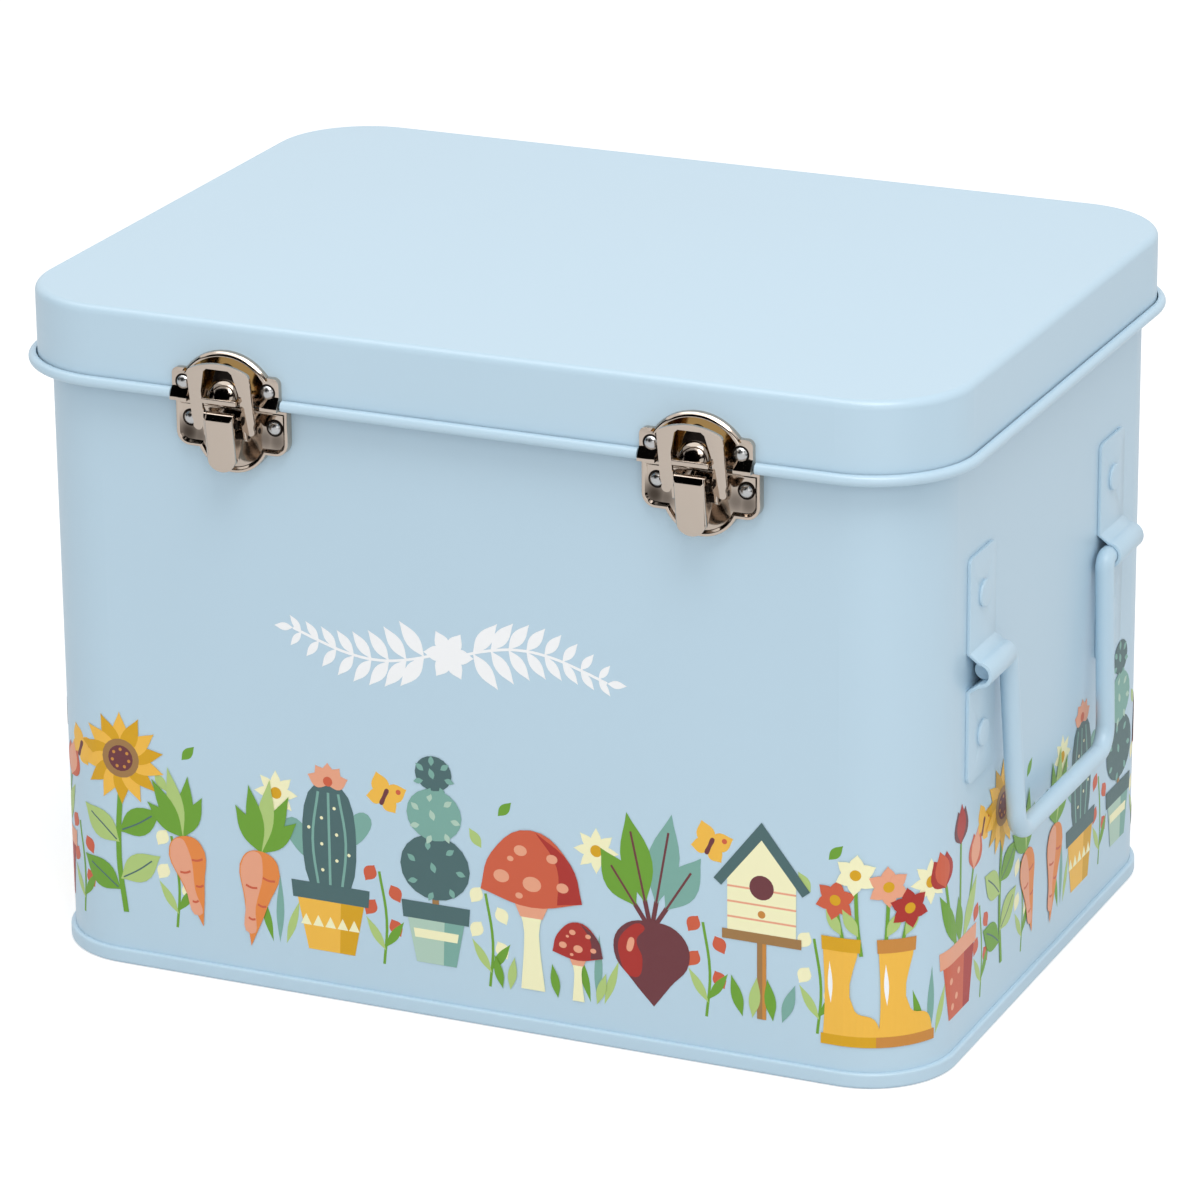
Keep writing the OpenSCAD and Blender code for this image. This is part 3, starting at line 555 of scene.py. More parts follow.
def make_plate_shade_nickel():
    material = nickel.copy()
    material.name = "nickel_with_painted_shade_in_corners"
    tree = material.node_tree
    place = add(tree, "TexCoord").outputs["Object"]
    flat = add(tree, "VectorMath", {"operation": "MULTIPLY", 1: (1, 0, 1)}, _0=place)
    dark = None
    for middle in (latch_middle("keeper_left"), latch_middle("keeper_right")):
        for right, rise, reach, depth in PAINTED_SHADE_PATCHES:
            centre = (middle + right * MM, 0, SKIRT_FOOT + rise * MM)
            away = add(tree, "VectorMath", {"operation": "DISTANCE", 1: centre},
                       _0=flat.outputs[0])
            fade = {"interpolation_type": "SMOOTHSTEP", "From Min": reach * MM,
                    "From Max": 0.5 * MM, "To Max": depth}
            shaded = add(tree, "MapRange", fade, Value=away.outputs["Value"])
            dark = add(tree, "Math", {"operation": "MAXIMUM"}, _0=shaded.outputs[0],
                       _1=(dark or shaded).outputs[0])
    shader = next(n for n in tree.nodes if n.type == "BSDF_PRINCIPLED")
    # Painted shade and dark reflection: the patches blend the base colour towards dark brown.
    tint = add(tree, "MixRGB", {"Color1": shader.inputs["Base Color"].default_value,
                                "Color2": linear("#3b322b")}, Fac=dark.outputs[0])
    tree.links.new(tint.outputs[0], shader.inputs["Base Color"])
    return material


plate_shade_nickel = make_plate_shade_nickel()
print(len(PAINTED_SHADE_PATCHES), "dull patches in", plate_shade_nickel.name)

# %% [markdown]
# ### The latch base plates
#
# The base plate is a shallow tray turned face down. Its middle is pressed in again, which
# leaves a raised lip all round, and the slope between them is what catches the light.

# %% Press the base plates
DISH_DEPTH = 0.85 * MM
TRAY_SHEET = 0.8 * MM
RIVET_OUT = 14.35 * MM
TRAY_RIVETS = SKIRT_FOOT - 6.8 * MM


def close_rivet_holes(tray):
    """Each hole is drawn together to a point, so that the plate can be pressed as one face."""
    middle = latch_middle(tray.name)
    for vertex in tray.data.vertices:
        for way in (-1, 1):
            x = middle + way * RIVET_OUT
            if math.hypot(vertex.co.x - x, vertex.co.z - TRAY_RIVETS) < 1.5 * MM:
                vertex.co.x, vertex.co.z = x, TRAY_RIVETS
    weld(0.01 * MM, slivers=0.01 * MM, flats=FLAT)


def dish(tray):
    """The front face is inset twice: once flat, for the lip, and once inwards."""
    close_rivet_holes(tray)
    forward = [face for face in tray.data.polygons if face.normal.y < -0.99]
    level = max(forward, key=lambda face: face.area).center.y
    for vertex in tray.data.vertices:
        if abs(vertex.co.y - level - TRAY_SHEET) < 0.02 * MM:
            vertex.co.y += DISH_DEPTH
    bpy.ops.object.mode_set(mode="EDIT")
    bpy.ops.mesh.select_mode(type="FACE")
    bpy.ops.mesh.select_all(action="DESELECT")
    bpy.ops.object.mode_set(mode="OBJECT")
    for face in tray.data.polygons:
        face.select = face.normal.y < -0.99 and abs(face.center.y - level) < 0.01 * MM
    bpy.ops.object.mode_set(mode="EDIT")
    bpy.ops.mesh.inset(thickness=0.9 * MM, depth=0)
    bpy.ops.mesh.inset(thickness=0.8 * MM, depth=-DISH_DEPTH)
    bpy.ops.object.mode_set(mode="OBJECT")


def sink_heads(rivets):
    for vertex in rivets.data.vertices:
        if vertex.co.y < BODY_FACE - 1 * MM:
            vertex.co.y += 0.8 * DISH_DEPTH


for node in ("latch_base_left", "latch_base_right"):
    tray = round_edges(node, 0.2 * MM, shape=dish)
    tray.data.materials.append(plate_shade_nickel)
    # The pressed-in dish faces take the nickel with the painted shade.
    rim = min(v.co.y for v in tray.data.vertices if v.co.z < SKIRT_FOOT - 14 * MM)
    for face in tray.data.polygons:
        if face.normal.y < -0.4 and face.center.y > rim + 0.25 * DISH_DEPTH:
            face.material_index = 1
round_edges("latch_base_rivets", 0.12 * MM, shape=sink_heads)
print("base plates pressed", round(DISH_DEPTH / MM, 2), "mm deep")

# %% [markdown]
# ### Painted shade rings round the rivets
#
# A hammered rivet draws the sheet down round its head. A thin near black ring is laid in that
# crease as painted shade, and it sets the bright head off.

# %% Ring the rivets
KEEPER_RIVETS = SKIRT_FOOT + 5.8 * MM
for name, body, face, height in (
        ("keeper_rivet_creases", "lid", EAR_FACE, KEEPER_RIVETS),
        ("latch_base_rivet_creases", "box", BODY_FACE - 2.5 * MM, TRAY_RIVETS)):
    rings = []
    for node in ("keeper_left", "keeper_right"):
        for way in (-1, 1):
            bpy.ops.mesh.primitive_torus_add(
                major_radius=2.45 * MM, minor_radius=0.28 * MM, major_segments=40,
                minor_segments=10, location=(latch_middle(node) + way * RIVET_OUT, face, height),
                rotation=(math.radians(90), 0, 0))
            rings.append(bpy.context.object)
    select_only(*rings)
    bpy.ops.object.join()
    shade_rings = bpy.context.object
    shade_rings.name = name
    bpy.ops.object.transform_apply()
    bpy.ops.object.mode_set(mode="EDIT")
    bpy.ops.mesh.select_all(action="SELECT")
    bpy.ops.transform.resize(value=(1, 0.7, 1), center_override=(0, face, 0))
    bpy.ops.object.mode_set(mode="OBJECT")
    bpy.ops.object.shade_smooth()
    # Painted shade: the rings get the near black nickel.
    paint(shade_rings, nickel_painted_shade)
    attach(shade_rings, body)
    print(name, "on", body)

# %% [markdown]
# ### The strap rivets
#
# The handle straps are held by large rivets with low, flat-topped heads, sprayed over with
# the box. Each head is a short cylinder whose upper edge is rounded by a wide bevel.

# %% Set the strap rivets
HEAD_RADIUS = 4.3 * MM
HEAD_HEIGHT = 1.15 * MM
OLD_HEAD = 0.9 * MM
STRAP_MIDDLE_Z = 125 * MM
STRAP_RIVET_RISE = 22.4 * MM
for side, way in (("right", 1), ("left", -1)):
    heads = [copy_of(f"bracket_rivets_{side}", f"strap_rivets_{side}")]
    strap_face = way * max(abs(v.co.x) for v in heads[0].data.vertices) - way * OLD_HEAD
    for end in ("front", "rear"):
        low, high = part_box(f"bracket_{side}_{end}")
        for rise in (-STRAP_RIVET_RISE, STRAP_RIVET_RISE):
            bpy.ops.mesh.primitive_cylinder_add(
                vertices=48, radius=HEAD_RADIUS, depth=HEAD_HEIGHT,
                rotation=(0, math.radians(90), 0),
                location=(strap_face + way * HEAD_HEIGHT / 2, (low[1] + high[1]) / 2,
                          STRAP_MIDDLE_Z + rise))
            bpy.ops.object.transform_apply()
            heads.append(bpy.context.object)
            bevel_edges(heads[-1], 0.75 * MM, 5)
    select_only(*heads)
    bpy.ops.object.join()
    strap_rivets = bpy.context.object
    bpy.ops.object.shade_smooth_by_angle(angle=SHARP_ON_HEADS)
    paint(strap_rivets, enamel)
    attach(strap_rivets, "box")
    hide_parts(f"bracket_rivets_{side}")
    print(strap_rivets.name, "on the strap at", round(strap_face / MM, 1), "mm")

# %% [markdown]
# ## The inks of the printed band
#
# A band of garden drawings is screen printed round the foot of the box, one flat ink over
# another, without shading. On a screen print each colour is its own shape, so that is how
# it is made here: every patch of ink is a flat closed curve, filled and turned to mesh.
# The patches are stacked a few thousandths of a millimetre apart. Each keeps its ink in a
# colour attribute, and one material reads it.

# %% Mix the inks
INKS = {
    "brick": "#b22a20", "vermilion": "#d65f3d", "peach": "#f2a987", "yellow": "#fbc147",
    "mustard": "#e0a800", "orange": "#ee8c40", "deep_teal": "#4a6a6b", "teal": "#7fb0a3",
    "mint": "#b7d3c0", "leaf": "#6fa52c", "lime": "#b6d07c", "cream": "#fffacb",
    "wood": "#a47a46", "ochre": "#d08b3a", "plum": "#6f3238", "white": "#ffffff",
}
FILM_START = 0.03 * MM
FILM_STEP = 0.004 * MM


def make_ink():
    material, tree = new_material("screen_printed_ink")
    ink = add(tree, "VertexColor", {"layer_name": "print_colour"})
    place = add(tree, "TexCoord").outputs["Object"]
    grain = add(tree, "TexNoise", {"Scale": 700.0, "Detail": 2.0}, Vector=place)
    film = add(tree, "MapRange", {"To Min": 0.36, "To Max": 0.48}, Value=grain.outputs[0])
    bump = add(tree, "Bump", {"Strength": 0.04, "Distance": 0.0001}, Height=grain.outputs[0])
    shader = add(tree, "BsdfPrincipled", {"IOR": 1.48}, Base_Color=ink.outputs[0],
                 Roughness=film.outputs[0], Normal=bump.outputs[0])
    finish_material(tree, shader)
    return material


print_ink = make_ink()
patches = []
films = []
print(len(INKS), "inks in", print_ink.name)

# %% [markdown]
# ### Shapes that the drawings are made of
#
# A patch is drawn in millimetres, x along the wall and y up it. Its corner points get
# straight handles and all others get smooth ones, so a leaf needs four points and a petal
# the same. A ribbon is a patch with a line down its middle: a stem or a stroke.

# %% Draw patches of ink
def turned(points, at=(0, 0), turn=0, size=1):
    cos, sin = math.cos(math.radians(turn)) * size, math.sin(math.radians(turn)) * size
    return [(at[0] + cos * x - sin * y, at[1] + sin * x + cos * y) for x, y in points]


def patch(ink, points, corners=()):
    """One closed shape of flat ink, on top of all earlier ones that it may touch."""
    curve = bpy.data.curves.new("patch_of_ink", "CURVE")
    curve.dimensions = "2D"
    curve.fill_mode = "BOTH"
    curve.resolution_u = 5
    spline = curve.splines.new("BEZIER")
    spline.bezier_points.add(len(points) - 1)
    for number, (point, (x, y)) in enumerate(zip(spline.bezier_points, points)):
        point.co = (x * MM, y * MM, 0)
        bend = "VECTOR" if number in corners else "AUTO"
        point.handle_left_type = point.handle_right_type = bend
    spline.use_cyclic_u = True
    box = [min(x for x, y in points), max(x for x, y in points),
           min(y for x, y in points), max(y for x, y in points)]
    below = [film for _, _, film, other in patches
             if box[0] < other[1] and other[0] < box[1] and box[2] < other[3] and other[2] < box[3]]
    film = max(below, default=0) + 1
    shape = bpy.data.objects.new("patch_of_ink", curve)
    shape.location.z = film * FILM_STEP
    bpy.context.collection.objects.link(shape)
    patches.append((shape, ink, film, box))


def block(ink, points):
    patch(ink, points, range(len(points)))


def oval(ink, at, wide, high, turn=0):
    ring = [(wide / 2, 0), (0, high / 2), (-wide / 2, 0), (0, -high / 2)]
    patch(ink, turned(ring, at, turn))


def leaf(ink, at, long, wide, turn=0):
    blade = [(0, 0), (wide / 2, 0.45 * long), (0, long), (-wide / 2, 0.45 * long)]
    patch(ink, turned(blade, at, turn), (0, 2))


def ribbon(ink, path, wide):
    left, right = [], []
    for number, (x, y) in enumerate(path):
        before, after = path[max(number - 1, 0)], path[min(number + 1, len(path) - 1)]
        run = math.dist(before, after)
        nx, ny = (before[1] - after[1]) / run, (after[0] - before[0]) / run
        left.append((x + nx * wide / 2, y + ny * wide / 2))
        right.append((x - nx * wide / 2, y - ny * wide / 2))
    last = len(path) - 1
    patch(ink, left + right[::-1], (0, last, last + 1, 2 * last + 1))


def press(draw):
    """The patches that the function lays become one flat mesh that keeps each ink."""
    draw()
    films.append(max(film for _, _, film, _ in patches))
    select_only(*[patch[0] for patch in patches])
    bpy.ops.object.convert(target="MESH")
    for shape, ink, _, _ in patches:
        colours = shape.data.color_attributes.new("print_colour", "FLOAT_COLOR", "POINT")
        colours.data.foreach_set("color", linear(INKS[ink]) * len(shape.data.vertices))
    bpy.ops.object.join()
    bpy.ops.object.transform_apply()
    drawing = bpy.context.object
    drawing.name = draw.__name__ + "_drawing"
    patches.clear()
    return drawing


print("a film is", FILM_STEP / MM, "mm thick")

# %% [markdown]
# ### The drawings
#
# Nine plain garden things stand in a row: a pot of tulips, a sunflower, carrots, a cactus,
# a clipped tree, toadstools, a beetroot, a bird house and a pair of boots. Each is a short
# function whose sizes are in millimetres from the middle of its foot.

# %% Draw the pot of tulips and the sunflower
def tulip(ink, shade, at, turn):
    leaf(shade, at, 9.5, 7, turn - 16)
    leaf(shade, at, 9.5, 7, turn + 16)
    leaf(ink, at, 10.5, 6, turn)


def flower_pot(ink, shade, trim, wide, high):
    half, foot = wide / 2, wide * 0.34
    block(ink, [(-half, high), (-foot, 0), (foot, 0), (half, high)])
    block(shade, [(half * 0.3, high), (foot * 0.35, 0), (foot, 0), (half, high)])
    block(trim, [(-half - 1.4, high + 3.2), (-half - 1, high - 1.4),
                 (half + 1, high - 1.4), (half + 1.4, high + 3.2)])


def tulips():
    for x, top, turn, ink, shade in ((-9, 36, 14, "vermilion", "brick"),
                                     (0, 44, -2, "brick", "plum"),
                                     (9, 34, -16, "peach", "vermilion")):
        ribbon("leaf", [(x * 0.25, 17), (x * 0.7, 27), (x, top + 1)], 1.1)
        tulip(ink, shade, (x, top), turn)
    leaf("leaf", (-2, 18), 19, 5, 30)
    leaf("lime", (2, 18), 17, 5, -34)
    leaf("leaf", (0, 18), 13, 5, 6)
    flower_pot("vermilion", "brick", "peach", 20, 16)
    for x, y in ((-5.5, 10), (-2, 5), (-4.6, 3), (-0.6, 11.2)):
        oval("peach", (x, y), 1.8, 1.8)


def sunflower():
    ribbon("leaf", [(0, 0), (-1.5, 15), (0, 38)], 1.5)
    for y, turn, ink in ((6, 58, "leaf"), (9, -56, "lime"), (19, 52, "lime"), (22, -60, "leaf")):
        leaf(ink, (-1.2, y), 14, 7.5, turn)
        ribbon("deep_teal", turned([(0, 1), (0.3, 6), (0, 11)], (-1.2, y), turn), 0.4)
    for petal in range(14):
        leaf("mustard" if petal % 2 else "yellow", (0, 42), 12.5, 4.6, petal * 360 / 14)
    oval("wood", (0, 42), 10.5, 10.5)
    oval("plum", (0, 42), 7, 7)
    for seed in range(7):
        x, y = turned([(0, 2.4)], (0, 42), seed * 360 / 7)[0]
        oval("ochre", (x, y), 0.9, 0.9)


drawings = [press(tulips), press(sunflower)]
print("drawn:", [d.name for d in drawings])

# %% Draw the carrots and the cactus
def carrot(at, turn, size=1.0):
    for fan, long in ((-38, 13), (-18, 17), (0, 19), (18, 17), (38, 13)):
        leaf("leaf" if fan % 4 else "lime", turned([(0, 24)], at, turn, size)[0],
             long * size, 4.4 * size, turn + fan)
    root = [(-4.6, 22), (0, 24.5), (4.6, 22), (3, 11), (0, 0), (-3, 11)]
    patch("orange", turned(root, at, turn, size), (4,))
    light = [(-4.4, 21.6), (-1, 24), (0.6, 21), (0, 10), (-0.4, 3), (-2.7, 11)]
    patch("peach", turned(light, at, turn, size))
    for x, y, wide in ((2.6, 18, 3.2), (-1.6, 15, 3), (1.6, 11, 2.2), (-0.6, 7, 1.8)):
        crack = [(x - wide / 2, y), (x, y - 0.3), (x + wide / 2, y)]
        ribbon("vermilion", turned(crack, at, turn, size), 0.6)


def carrots():
    carrot((-7, 3), 12)
    carrot((6.5, 0), -8, 1.08)


def cactus():
    for x, y, long, turn in ((-6, 25, 12, 38), (6, 30, 11, -38)):
        oval("teal", turned([(0, long / 2)], (x * 0.7, y), turn)[0], 6, long, turn)
    oval("deep_teal", (0, 30), 15, 32)
    for x in (-4, 0, 4):
        ribbon("teal", [(x * 0.8, 17), (x * 1.15, 30), (x * 0.7, 43)], 0.7)
    for x, y in ((-2, 22), (2, 25), (-2.1, 29), (2.1, 32), (-2, 36), (1.6, 39), (5.4, 27),
                 (-5.6, 33)):
        oval("cream", (x, y), 0.9, 0.9)
    for petal in range(5):
        leaf("peach", (0, 45), 6, 4, petal * 34 - 68)
    oval("vermilion", (0, 46), 2.6, 2.6)
    flower_pot("yellow", "mustard", "deep_teal", 19, 15)
    for x in (-7, -3.6, -0.2, 3.2, 6.4):
        block("cream", [(x - 1.5, 6.5), (x, 9.5), (x + 1.5, 6.5)])


drawings += [press(carrots), press(cactus)]
print("drawn:", [d.name for d in drawings[2:]])

# %% Draw the clipped tree and the toadstools
def clipped_tree():
    block("wood", [(-0.9, 14), (-0.9, 50), (0.9, 50), (0.9, 14)])
    for y, wide, ink, light in ((26, 19, "deep_teal", "teal"), (40, 15, "teal", "mint"),
                                (51, 10, "deep_teal", "teal")):
        oval(ink, (0, y), wide, wide * 0.92)
        for spot in range(7):
            x, height = turned([(0, wide * 0.3)], (0, y), spot * 360 / 7 + wide)[0]
            leaf(light, (x, height - 1), 2.8, 1.5, spot * 51)
        leaf(light, (0, y - 1.5), 3, 1.6, 20)
    flower_pot("mint", "teal", "deep_teal", 16, 13)
    block("cream", [(-6.2, 9), (-5.8, 6.6), (5.8, 6.6), (6.2, 9)])


def toadstool(at, size, cap, shade):
    stalk = [(-2.4, 0), (-1.6, 12), (-2, 22), (2, 22), (1.6, 12), (2.8, 0)]
    patch("cream", turned(stalk, at, 0, size), (0, 5))
    block("peach", turned([(-4, 19), (-2.4, 15.4), (2.4, 15.4), (4, 19)], at, 0, size))
    dome = [(-11, 20), (-8.6, 28), (0, 34), (8.6, 28), (11, 20), (0, 17.6)]
    patch(cap, turned(dome, at, 0, size), (0, 4))
    side = [(11, 20), (8.6, 28), (1, 33.8), (5.6, 27), (5.6, 19)]
    patch(shade, turned(side, at, 0, size), (0, 2, 4))
    for x, y, wide in ((-6.4, 23.4, 3.4), (-2.2, 29.4, 2.8), (0.2, 22.6, 4), (4.6, 28.6, 2.4),
                       (6.8, 22.8, 2.6), (-4.4, 27.4, 1.4), (-2.6, 19.8, 1.6)):
        oval("peach", turned([(x, y)], at, 0, size)[0], wide * size, wide * size * 0.8)


def toadstools():
    toadstool((-3, 1), 1.25, "vermilion", "brick")
    toadstool((9.4, 0), 0.62, "brick", "plum")
    for x, turn, ink in ((-11, 14, "leaf"), (-9, -8, "lime"), (4, 10, "leaf"), (14.5, -16, "lime")):
        leaf(ink, (x, 0), 9, 2.4, turn)


drawings += [press(clipped_tree), press(toadstools)]
print("drawn:", [d.name for d in drawings[4:]])

# %% Draw the beetroot, the bird house and the boots
def beetroot():
    for turn, long in ((-32, 24), (-10, 31), (12, 30), (34, 23)):
        ribbon("plum", turned([(0, 0), (0, long * 0.3), (0, long * 0.9)], (0, 20), turn), 1.2)
        leaf("leaf" if turn > 0 else "teal", turned([(0, 7)], (0, 20), turn)[0],
             long - 6, 8.4, turn)
        ribbon("plum", turned([(0, 7), (0, 14), (0, long - 4)], (0, 20), turn), 0.6)
    bulb = [(0, 22.5), (8, 20), (10, 13), (5, 6), (0.6, 0), (-5, 6), (-10, 13), (-8, 20)]
    patch("plum", bulb, (4,))
    patch("brick", [(-2, 21), (-7.4, 18.6), (-8.8, 13), (-4.4, 7), (-2.4, 12), (-4, 17)])
    oval("peach", (-5.6, 15.6), 1.8, 4, -14)


def bird_house():
    block("wood", [(-1.2, 0), (-1.2, 26), (1.2, 26), (1.2, 0)])
    block("ochre", [(0.2, 0), (0.2, 26), (1.2, 26), (1.2, 0)])
    block("cream", [(-9, 22), (-9, 38), (0, 49), (9, 38), (9, 22)])
    for y in (26, 30, 34):
        ribbon("peach", [(-9, y), (0, y), (9, y)], 0.5)
    block("deep_teal", [(-12.6, 35.4), (0, 51.6), (12.6, 35.4), (10.6, 33.8), (0, 47),
                        (-10.6, 33.8)])
    block("wood", [(-10.4, 22.6), (-10.4, 20), (10.4, 20), (10.4, 22.6)])
    oval("plum", (0, 34.6), 6.4, 6.4)
    oval("ochre", (0, 27.6), 2, 2)
    for x, turn, ink in ((-5, 16, "leaf"), (-2.4, -6, "lime"), (3, 8, "leaf"), (5.4, -18, "teal")):
        leaf(ink, (x, 0), 11, 3, turn)


def boot(x, ink, shade):
    shaft = [(-4.6, 27), (-4, 12), (-4.4, 2.6), (10, 2.6), (8.4, 7.4), (3.6, 9.6), (4.6, 27)]
    patch(ink, turned(shaft, (x, 0)), (0, 2, 3, 6))
    block(shade, turned([(-5, 2.8), (-5, 0), (10.6, 0), (10.6, 2.8)], (x, 0)))
    block(shade, turned([(-5, 28.4), (-4.8, 24.8), (4.8, 24.8), (5, 28.4)], (x, 0)))
    leaf("white", (x - 2.4, 11), 11, 1.2, 2)


def boots():
    for x, top, ink in ((-10, 38, "vermilion"), (-5, 45, "cream"), (3, 42, "peach"),
                        (8.4, 36, "brick")):
        ribbon("leaf", [(x * 0.7, 24), (x * 0.9, 32), (x, top)], 0.9)
        leaf("lime", (x * 0.85, 29), 8, 3, 30 if x < 0 else -30)
        for petal in range(6):
            leaf(ink, (x, top), 5.4, 3.6, petal * 60 + x)
        oval("mustard", (x, top), 2.8, 2.8)
    boot(-8.6, "yellow", "mustard")
    boot(5.2, "yellow", "ochre")


drawings += [press(beetroot), press(bird_house), press(boots)]
print("drawn:", [d.name for d in drawings[6:]])

# %% [markdown]
# ### Small things between them
#
# Butterflies, loose leaves and slender bell flowers fill the gaps, so that the row reads
# as one band and not as a set of stamps.

# %% Draw the small things
def butterfly(at, turn, ink, spot):
    for side in (-1, 1):
        leaf(ink, at, 7.4, 5.4, turn + side * 42)
        leaf(ink, at, 5.4, 4.4, turn + side * 118)
        oval(spot, turned([(side * 3.1, 3.5)], at, turn)[0], 1.5, 1.5)
    oval("plum", at, 1.1, 5.4, turn)


def bell_flower(x, ink):
    ribbon("leaf", [(x, 0), (x + 1, 13), (x - 1, 27)], 0.8)
    for y, side in ((12, 1), (17, -1), (22, 1), (27, -1)):
        leaf(ink, (x + side * 2.4, y + 1.6), 5.6, 4, 180 + side * 30)
    leaf("lime", (x + 0.6, 4), 11, 2.6, 32)
    leaf("leaf", (x + 0.6, 5), 10, 2.6, -34)


def bells_and_butterfly():
    bell_flower(0, "vermilion")
    butterfly((1, 49), -24, "yellow", "vermilion")


def loose_leaves():
    bell_flower(0, "cream")
    leaf("lime", (-2, 40), 6.4, 3, 34)
    leaf("leaf", (3, 50), 6, 2.8, -42)


def blossom_and_grass():
    for x, long, turn, ink in ((-2, 15, 14, "leaf"), (0, 20, -2, "teal"), (2, 14, -18, "lime")):
        leaf(ink, (x, 0), long, 2.4, turn)
    for petal in range(8):
        leaf("cream", (0, 44), 6.6, 3, petal * 45)
    oval("mustard", (0, 44), 3.4, 3.4)


small_drawings = [press(bells_and_butterfly), press(loose_leaves), press(blossom_and_grass)]
print("small drawings:", len(small_drawings))

# %% [markdown]
# ### A white spray of leaves
#
# Above the band, where the front would otherwise be empty, one white spray lies across
# the middle: two stems that leave a small flower to the left and right.

# %% Draw the white spray
SPRAY_MIDDLE = (-5, 121)
SPRAY_REACH = 52


def on_stem(side, share):
    return (side * (3 + share * SPRAY_REACH), side * 5 * math.sin(share * math.pi * 1.15))


def white_spray():
    for side in (-1, 1):
        ribbon("white", [on_stem(side, share) for share in (0, 0.2, 0.4, 0.6, 0.8, 0.96)], 0.9)
        for step in range(8):
            share = 0.1 + step * 0.115
            long = 14.5 - 9 * share
            leaf("white", on_stem(side, share), long, long * 0.36, -side * 38)
            leaf("white", on_stem(side, share), long, long * 0.36, -side * 142)
        leaf("white", on_stem(side, 0.96), 6.5, 2.6, -side * 90)
    for petal in range(6):
        leaf("white", (0, 0), 8.5, 5, petal * 60 + 30)


spray_drawing = press(white_spray)
print("spray is", round(spray_drawing.dimensions.x / MM), "mm wide")

# %% [markdown]
# ### Set the row out and wrap it round the box
#
# The row is laid out flat first, as a printer would: its length is the box's girth, the
# nine drawings go round three times, and their feet rise and fall a little. Near the
# corners the flat print is cut every couple of millimetres. Then each point is carried
# to the wall: straight along the flats, and from cut to cut round the corner in between.

# %% Set out the row
FRONT_FLAT = BODY_WIDTH - 2 * CORNER_RADIUS
SIDE_FLAT = BODY_DEPTH - 2 * CORNER_RADIUS
CORNER_RUN = CORNER_RADIUS * math.pi / 2
GIRTH = 2 * (FRONT_FLAT + SIDE_FLAT) + 4 * CORNER_RUN
ROUNDS = 3
PITCH = GIRTH / (ROUNDS * len(drawings))
BAND_FOOT = 13 * MM


def stamp(drawing, run, foot, lift, size):
    select_only(drawing)
    bpy.ops.object.duplicate()
    bpy.ops.transform.resize(value=(size, size, 1), center_override=(0, 0, 0))
    bpy.ops.transform.translate(value=(run, foot, lift))
    bpy.ops.object.transform_apply()
    return bpy.context.object


small_films = max(films[len(drawings):]) * FILM_STEP
large_films = max(films[:len(drawings)]) * FILM_STEP
stamps = [stamp(spray_drawing, SPRAY_MIDDLE[0] * MM, SPRAY_MIDDLE[1] * MM, FILM_START, 1)]
for number in range(ROUNDS * len(drawings)):
    run = (number + 0.2) * PITCH - GIRTH / 2
    foot = BAND_FOOT + (2.5 + 2.5 * math.sin(number * 2.1)) * MM
    lift = FILM_START + small_films + number % 3 * large_films
    stamps.append(stamp(drawings[number % len(drawings)], run, foot, lift, 1.25))
    foot = BAND_FOOT + (1.5 + 1.5 * math.sin(number * 1.3)) * MM
    small = small_drawings[number % len(small_drawings)]
    stamps.append(stamp(small, run + PITCH / 2, foot, FILM_START, 1.15))
for drawing in drawings + small_drawings + [spray_drawing]:
    bpy.data.objects.remove(drawing)
select_only(*stamps)
bpy.ops.object.join()
garden_print = bpy.context.object
garden_print.name = "garden_print"
print("the row is", round(GIRTH / MM), "mm long, one drawing every", round(PITCH / MM, 1), "mm")

# %% Cut it at the corners
CORNER_CUTS = 21
runs = []
for turn in (-3, -2, -1, 1, 2, 3):
    start = FRONT_FLAT / 2 + (abs(turn) - 1) * CORNER_RUN
    start += (abs(turn) // 2) * SIDE_FLAT + (abs(turn) // 3) * FRONT_FLAT
    for cut in range(CORNER_CUTS + 1):
        runs.append(math.copysign(start + cut * CORNER_RUN / CORNER_CUTS, turn))
cut_through([((run, 0, 0), (1, 0, 0)) for run in runs])
bpy.ops.object.mode_set(mode="EDIT")
bpy.ops.mesh.select_all(action="SELECT")
bpy.ops.mesh.dissolve_degenerate(threshold=0.003 * MM)
bpy.ops.object.mode_set(mode="OBJECT")
print("faces after cutting:", len(garden_print.data.polygons))

# %% Wrap it round the wall
def on_the_wall(run, height, lift):
    """The place on the wall of a flat point; run is measured from the front's middle."""
    run = (run + FRONT_FLAT / 2) % GIRTH
    reach = CORNER_RADIUS + lift
    for side, (end_x, end_y) in enumerate(((1, -1), (1, 1), (-1, 1), (-1, -1))):
        flat = SIDE_FLAT if side % 2 else FRONT_FLAT
        angle = -math.pi / 2 + side * math.pi / 2
        middle_x, middle_y = end_x * FRONT_FLAT / 2, end_y * SIDE_FLAT / 2
        if run < flat:
            back_x, back_y = math.sin(angle) * (flat - run), -math.cos(angle) * (flat - run)
            return (middle_x + back_x + math.cos(angle) * reach,
                    middle_y + back_y + math.sin(angle) * reach, height)
        run -= flat
        if run < CORNER_RUN:
            cut, share = divmod(run / CORNER_RUN * CORNER_CUTS, 1)
            angles = [angle + (cut + end) * math.pi / 2 / CORNER_CUTS for end in (0, 1)]
            across = [sum(part * turn(a) for part, a in zip((1 - share, share), angles))
                      for turn in (math.cos, math.sin)]
            return (middle_x + across[0] * reach, middle_y + across[1] * reach, height)
        run -= CORNER_RUN


for vertex in garden_print.data.vertices:
    vertex.co = on_the_wall(*vertex.co)
paint(garden_print, print_ink)
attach(garden_print, "box")
front = [f for f in garden_print.data.polygons if f.center.y < BODY_FACE]
inwards = sum(f.area for f in front if f.normal.y > 0)
print("of the print on the front,", round(inwards / MM / MM, 4), "square mm face inwards")

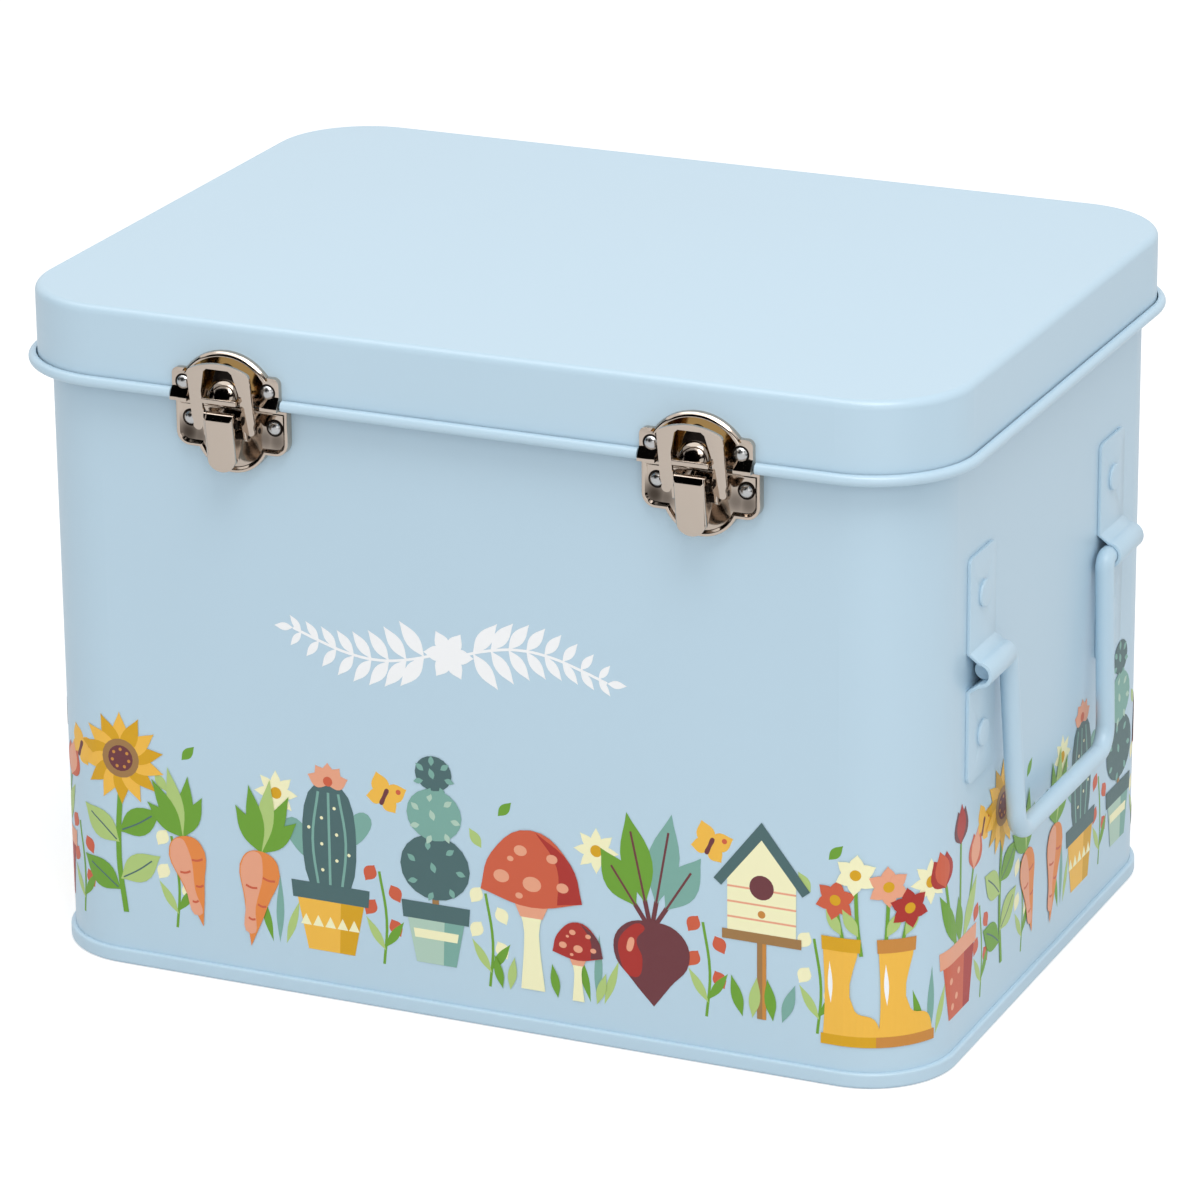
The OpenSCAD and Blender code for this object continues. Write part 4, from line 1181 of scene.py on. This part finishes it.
# %% [markdown]
# ## Floor, backdrop and light
#
# The photograph is a plain white product shot. The floor is a large pale plane. For the
# camera it glows a little, so that it reads as white and still keeps the box's shadow.
# The world is white to the camera and a soft grey to everything else.

# %% Lay the floor
bpy.ops.mesh.primitive_plane_add(size=12, location=(0, 0, 0))
floor = bpy.context.object
floor.name = "studio_floor"


def make_floor_paper():
    material, tree = new_material("white_studio_paper")
    seen = add(tree, "LightPath").outputs
    mirrored = add(tree, "Math", {"operation": "MULTIPLY", 1: 0.2}, _0=seen["Is Glossy Ray"])
    level = add(tree, "Math", {"operation": "MULTIPLY_ADD", 1: 0.5},
                _0=seen["Is Camera Ray"], _2=mirrored.outputs[0])
    paper = add(tree, "BsdfDiffuse", {"Color": linear("#dcdcdc")})
    glow = add(tree, "Emission", {"Color": (1, 1, 1, 1)}, Strength=level.outputs[0])
    both = add(tree, "AddShader", _0=paper.outputs[0], _1=glow.outputs[0])
    finish_material(tree, both)
    return material


paint(floor, make_floor_paper())
print("floor laid:", floor.name)

# %% Light the studio
world = bpy.data.worlds.new("white_studio")
bpy.context.scene.world = world
world.use_nodes = True
sky = world.node_tree
sky.nodes.clear()
seen = add(sky, "LightPath").outputs
bare = add(sky, "Math", {"operation": "MAXIMUM"},
           _0=seen["Is Camera Ray"], _1=seen["Is Glossy Ray"])
shown = add(sky, "Math", {"operation": "MAXIMUM"},
            _0=bare.outputs[0], _1=seen["Is Transmission Ray"])
soft = add(sky, "Background", {"Color": (0.96, 0.98, 1.0, 1), "Strength": 0.74})
white = add(sky, "Background", {"Color": (1, 1, 1, 1), "Strength": 1.0})
surround = add(sky, "MixShader", _0=shown.outputs[0], _1=soft.outputs[0], _2=white.outputs[0])
add(sky, "OutputWorld", Surface=surround.outputs[0])


def turn_to_box(place, axis):
    aim = Vector((0, 0, 0.1)) - Vector(place)
    return aim.to_track_quat(axis, "Y").to_euler()


def softbox(name, place, size, watts):
    bpy.ops.object.light_add(type="AREA", location=place)
    lamp = bpy.context.object
    lamp.name = name
    lamp.data.size = size
    lamp.data.energy = watts
    lamp.rotation_euler = turn_to_box(place, "-Z")
    return lamp


key = softbox("softbox_above", (0.5, -0.8, 1.9), 1.0, 13)
fill = softbox("softbox_front", (1.1, -1.6, 0.9), 0.8, 3.2)
bpy.context.scene.view_settings.view_transform = "Standard"
print("lamps:", key.name, fill.name)

# %% [markdown]
# ### Black and white cards beside the lamps
#
# Polished metal shows whatever stands round it. In an all white room it has no shape, so
# a photographer stands black cards round it and hangs a lit white one above. Every round
# edge then carries a black line beside a white one. Only reflections see these cards.

# %% Hang the cards
def reflected_card(name, surface, place, wide, high):
    bpy.ops.mesh.primitive_plane_add(size=1)
    card = bpy.context.object
    card.name = name
    card.scale = (wide, high, 1)
    card.location = place
    card.rotation_euler = turn_to_box(place, "Z")
    paint(card, surface)
    card.visible_camera = False
    card.visible_diffuse = False
    card.visible_shadow = False
    return card


black, black_tree = new_material("matt_black_card")
finish_material(black_tree, add(black_tree, "BsdfDiffuse", {"Color": linear("#050505")}))
lit, lit_tree = new_material("lit_white_card")
finish_material(lit_tree, add(lit_tree, "Emission", {"Strength": 2.6}))
cards = [reflected_card("black_card_above", black, (0, -2.35, 1.9), 7, 2.2),
         reflected_card("black_card_left", black, (-3, -0.6, 0.9), 2.4, 1.6),
         reflected_card("black_card_low_right", black, (0.72, -0.25, 0.03), 0.6, 0.4),
         reflected_card("black_card_front_left", black, (-0.95, -2.4, 0.78), 1.7, 0.9),
         reflected_card("white_strip_overhead", lit, (-0.3, -0.5, 2.2), 4, 1.1)]
print("cards:", [card.name for card in cards])
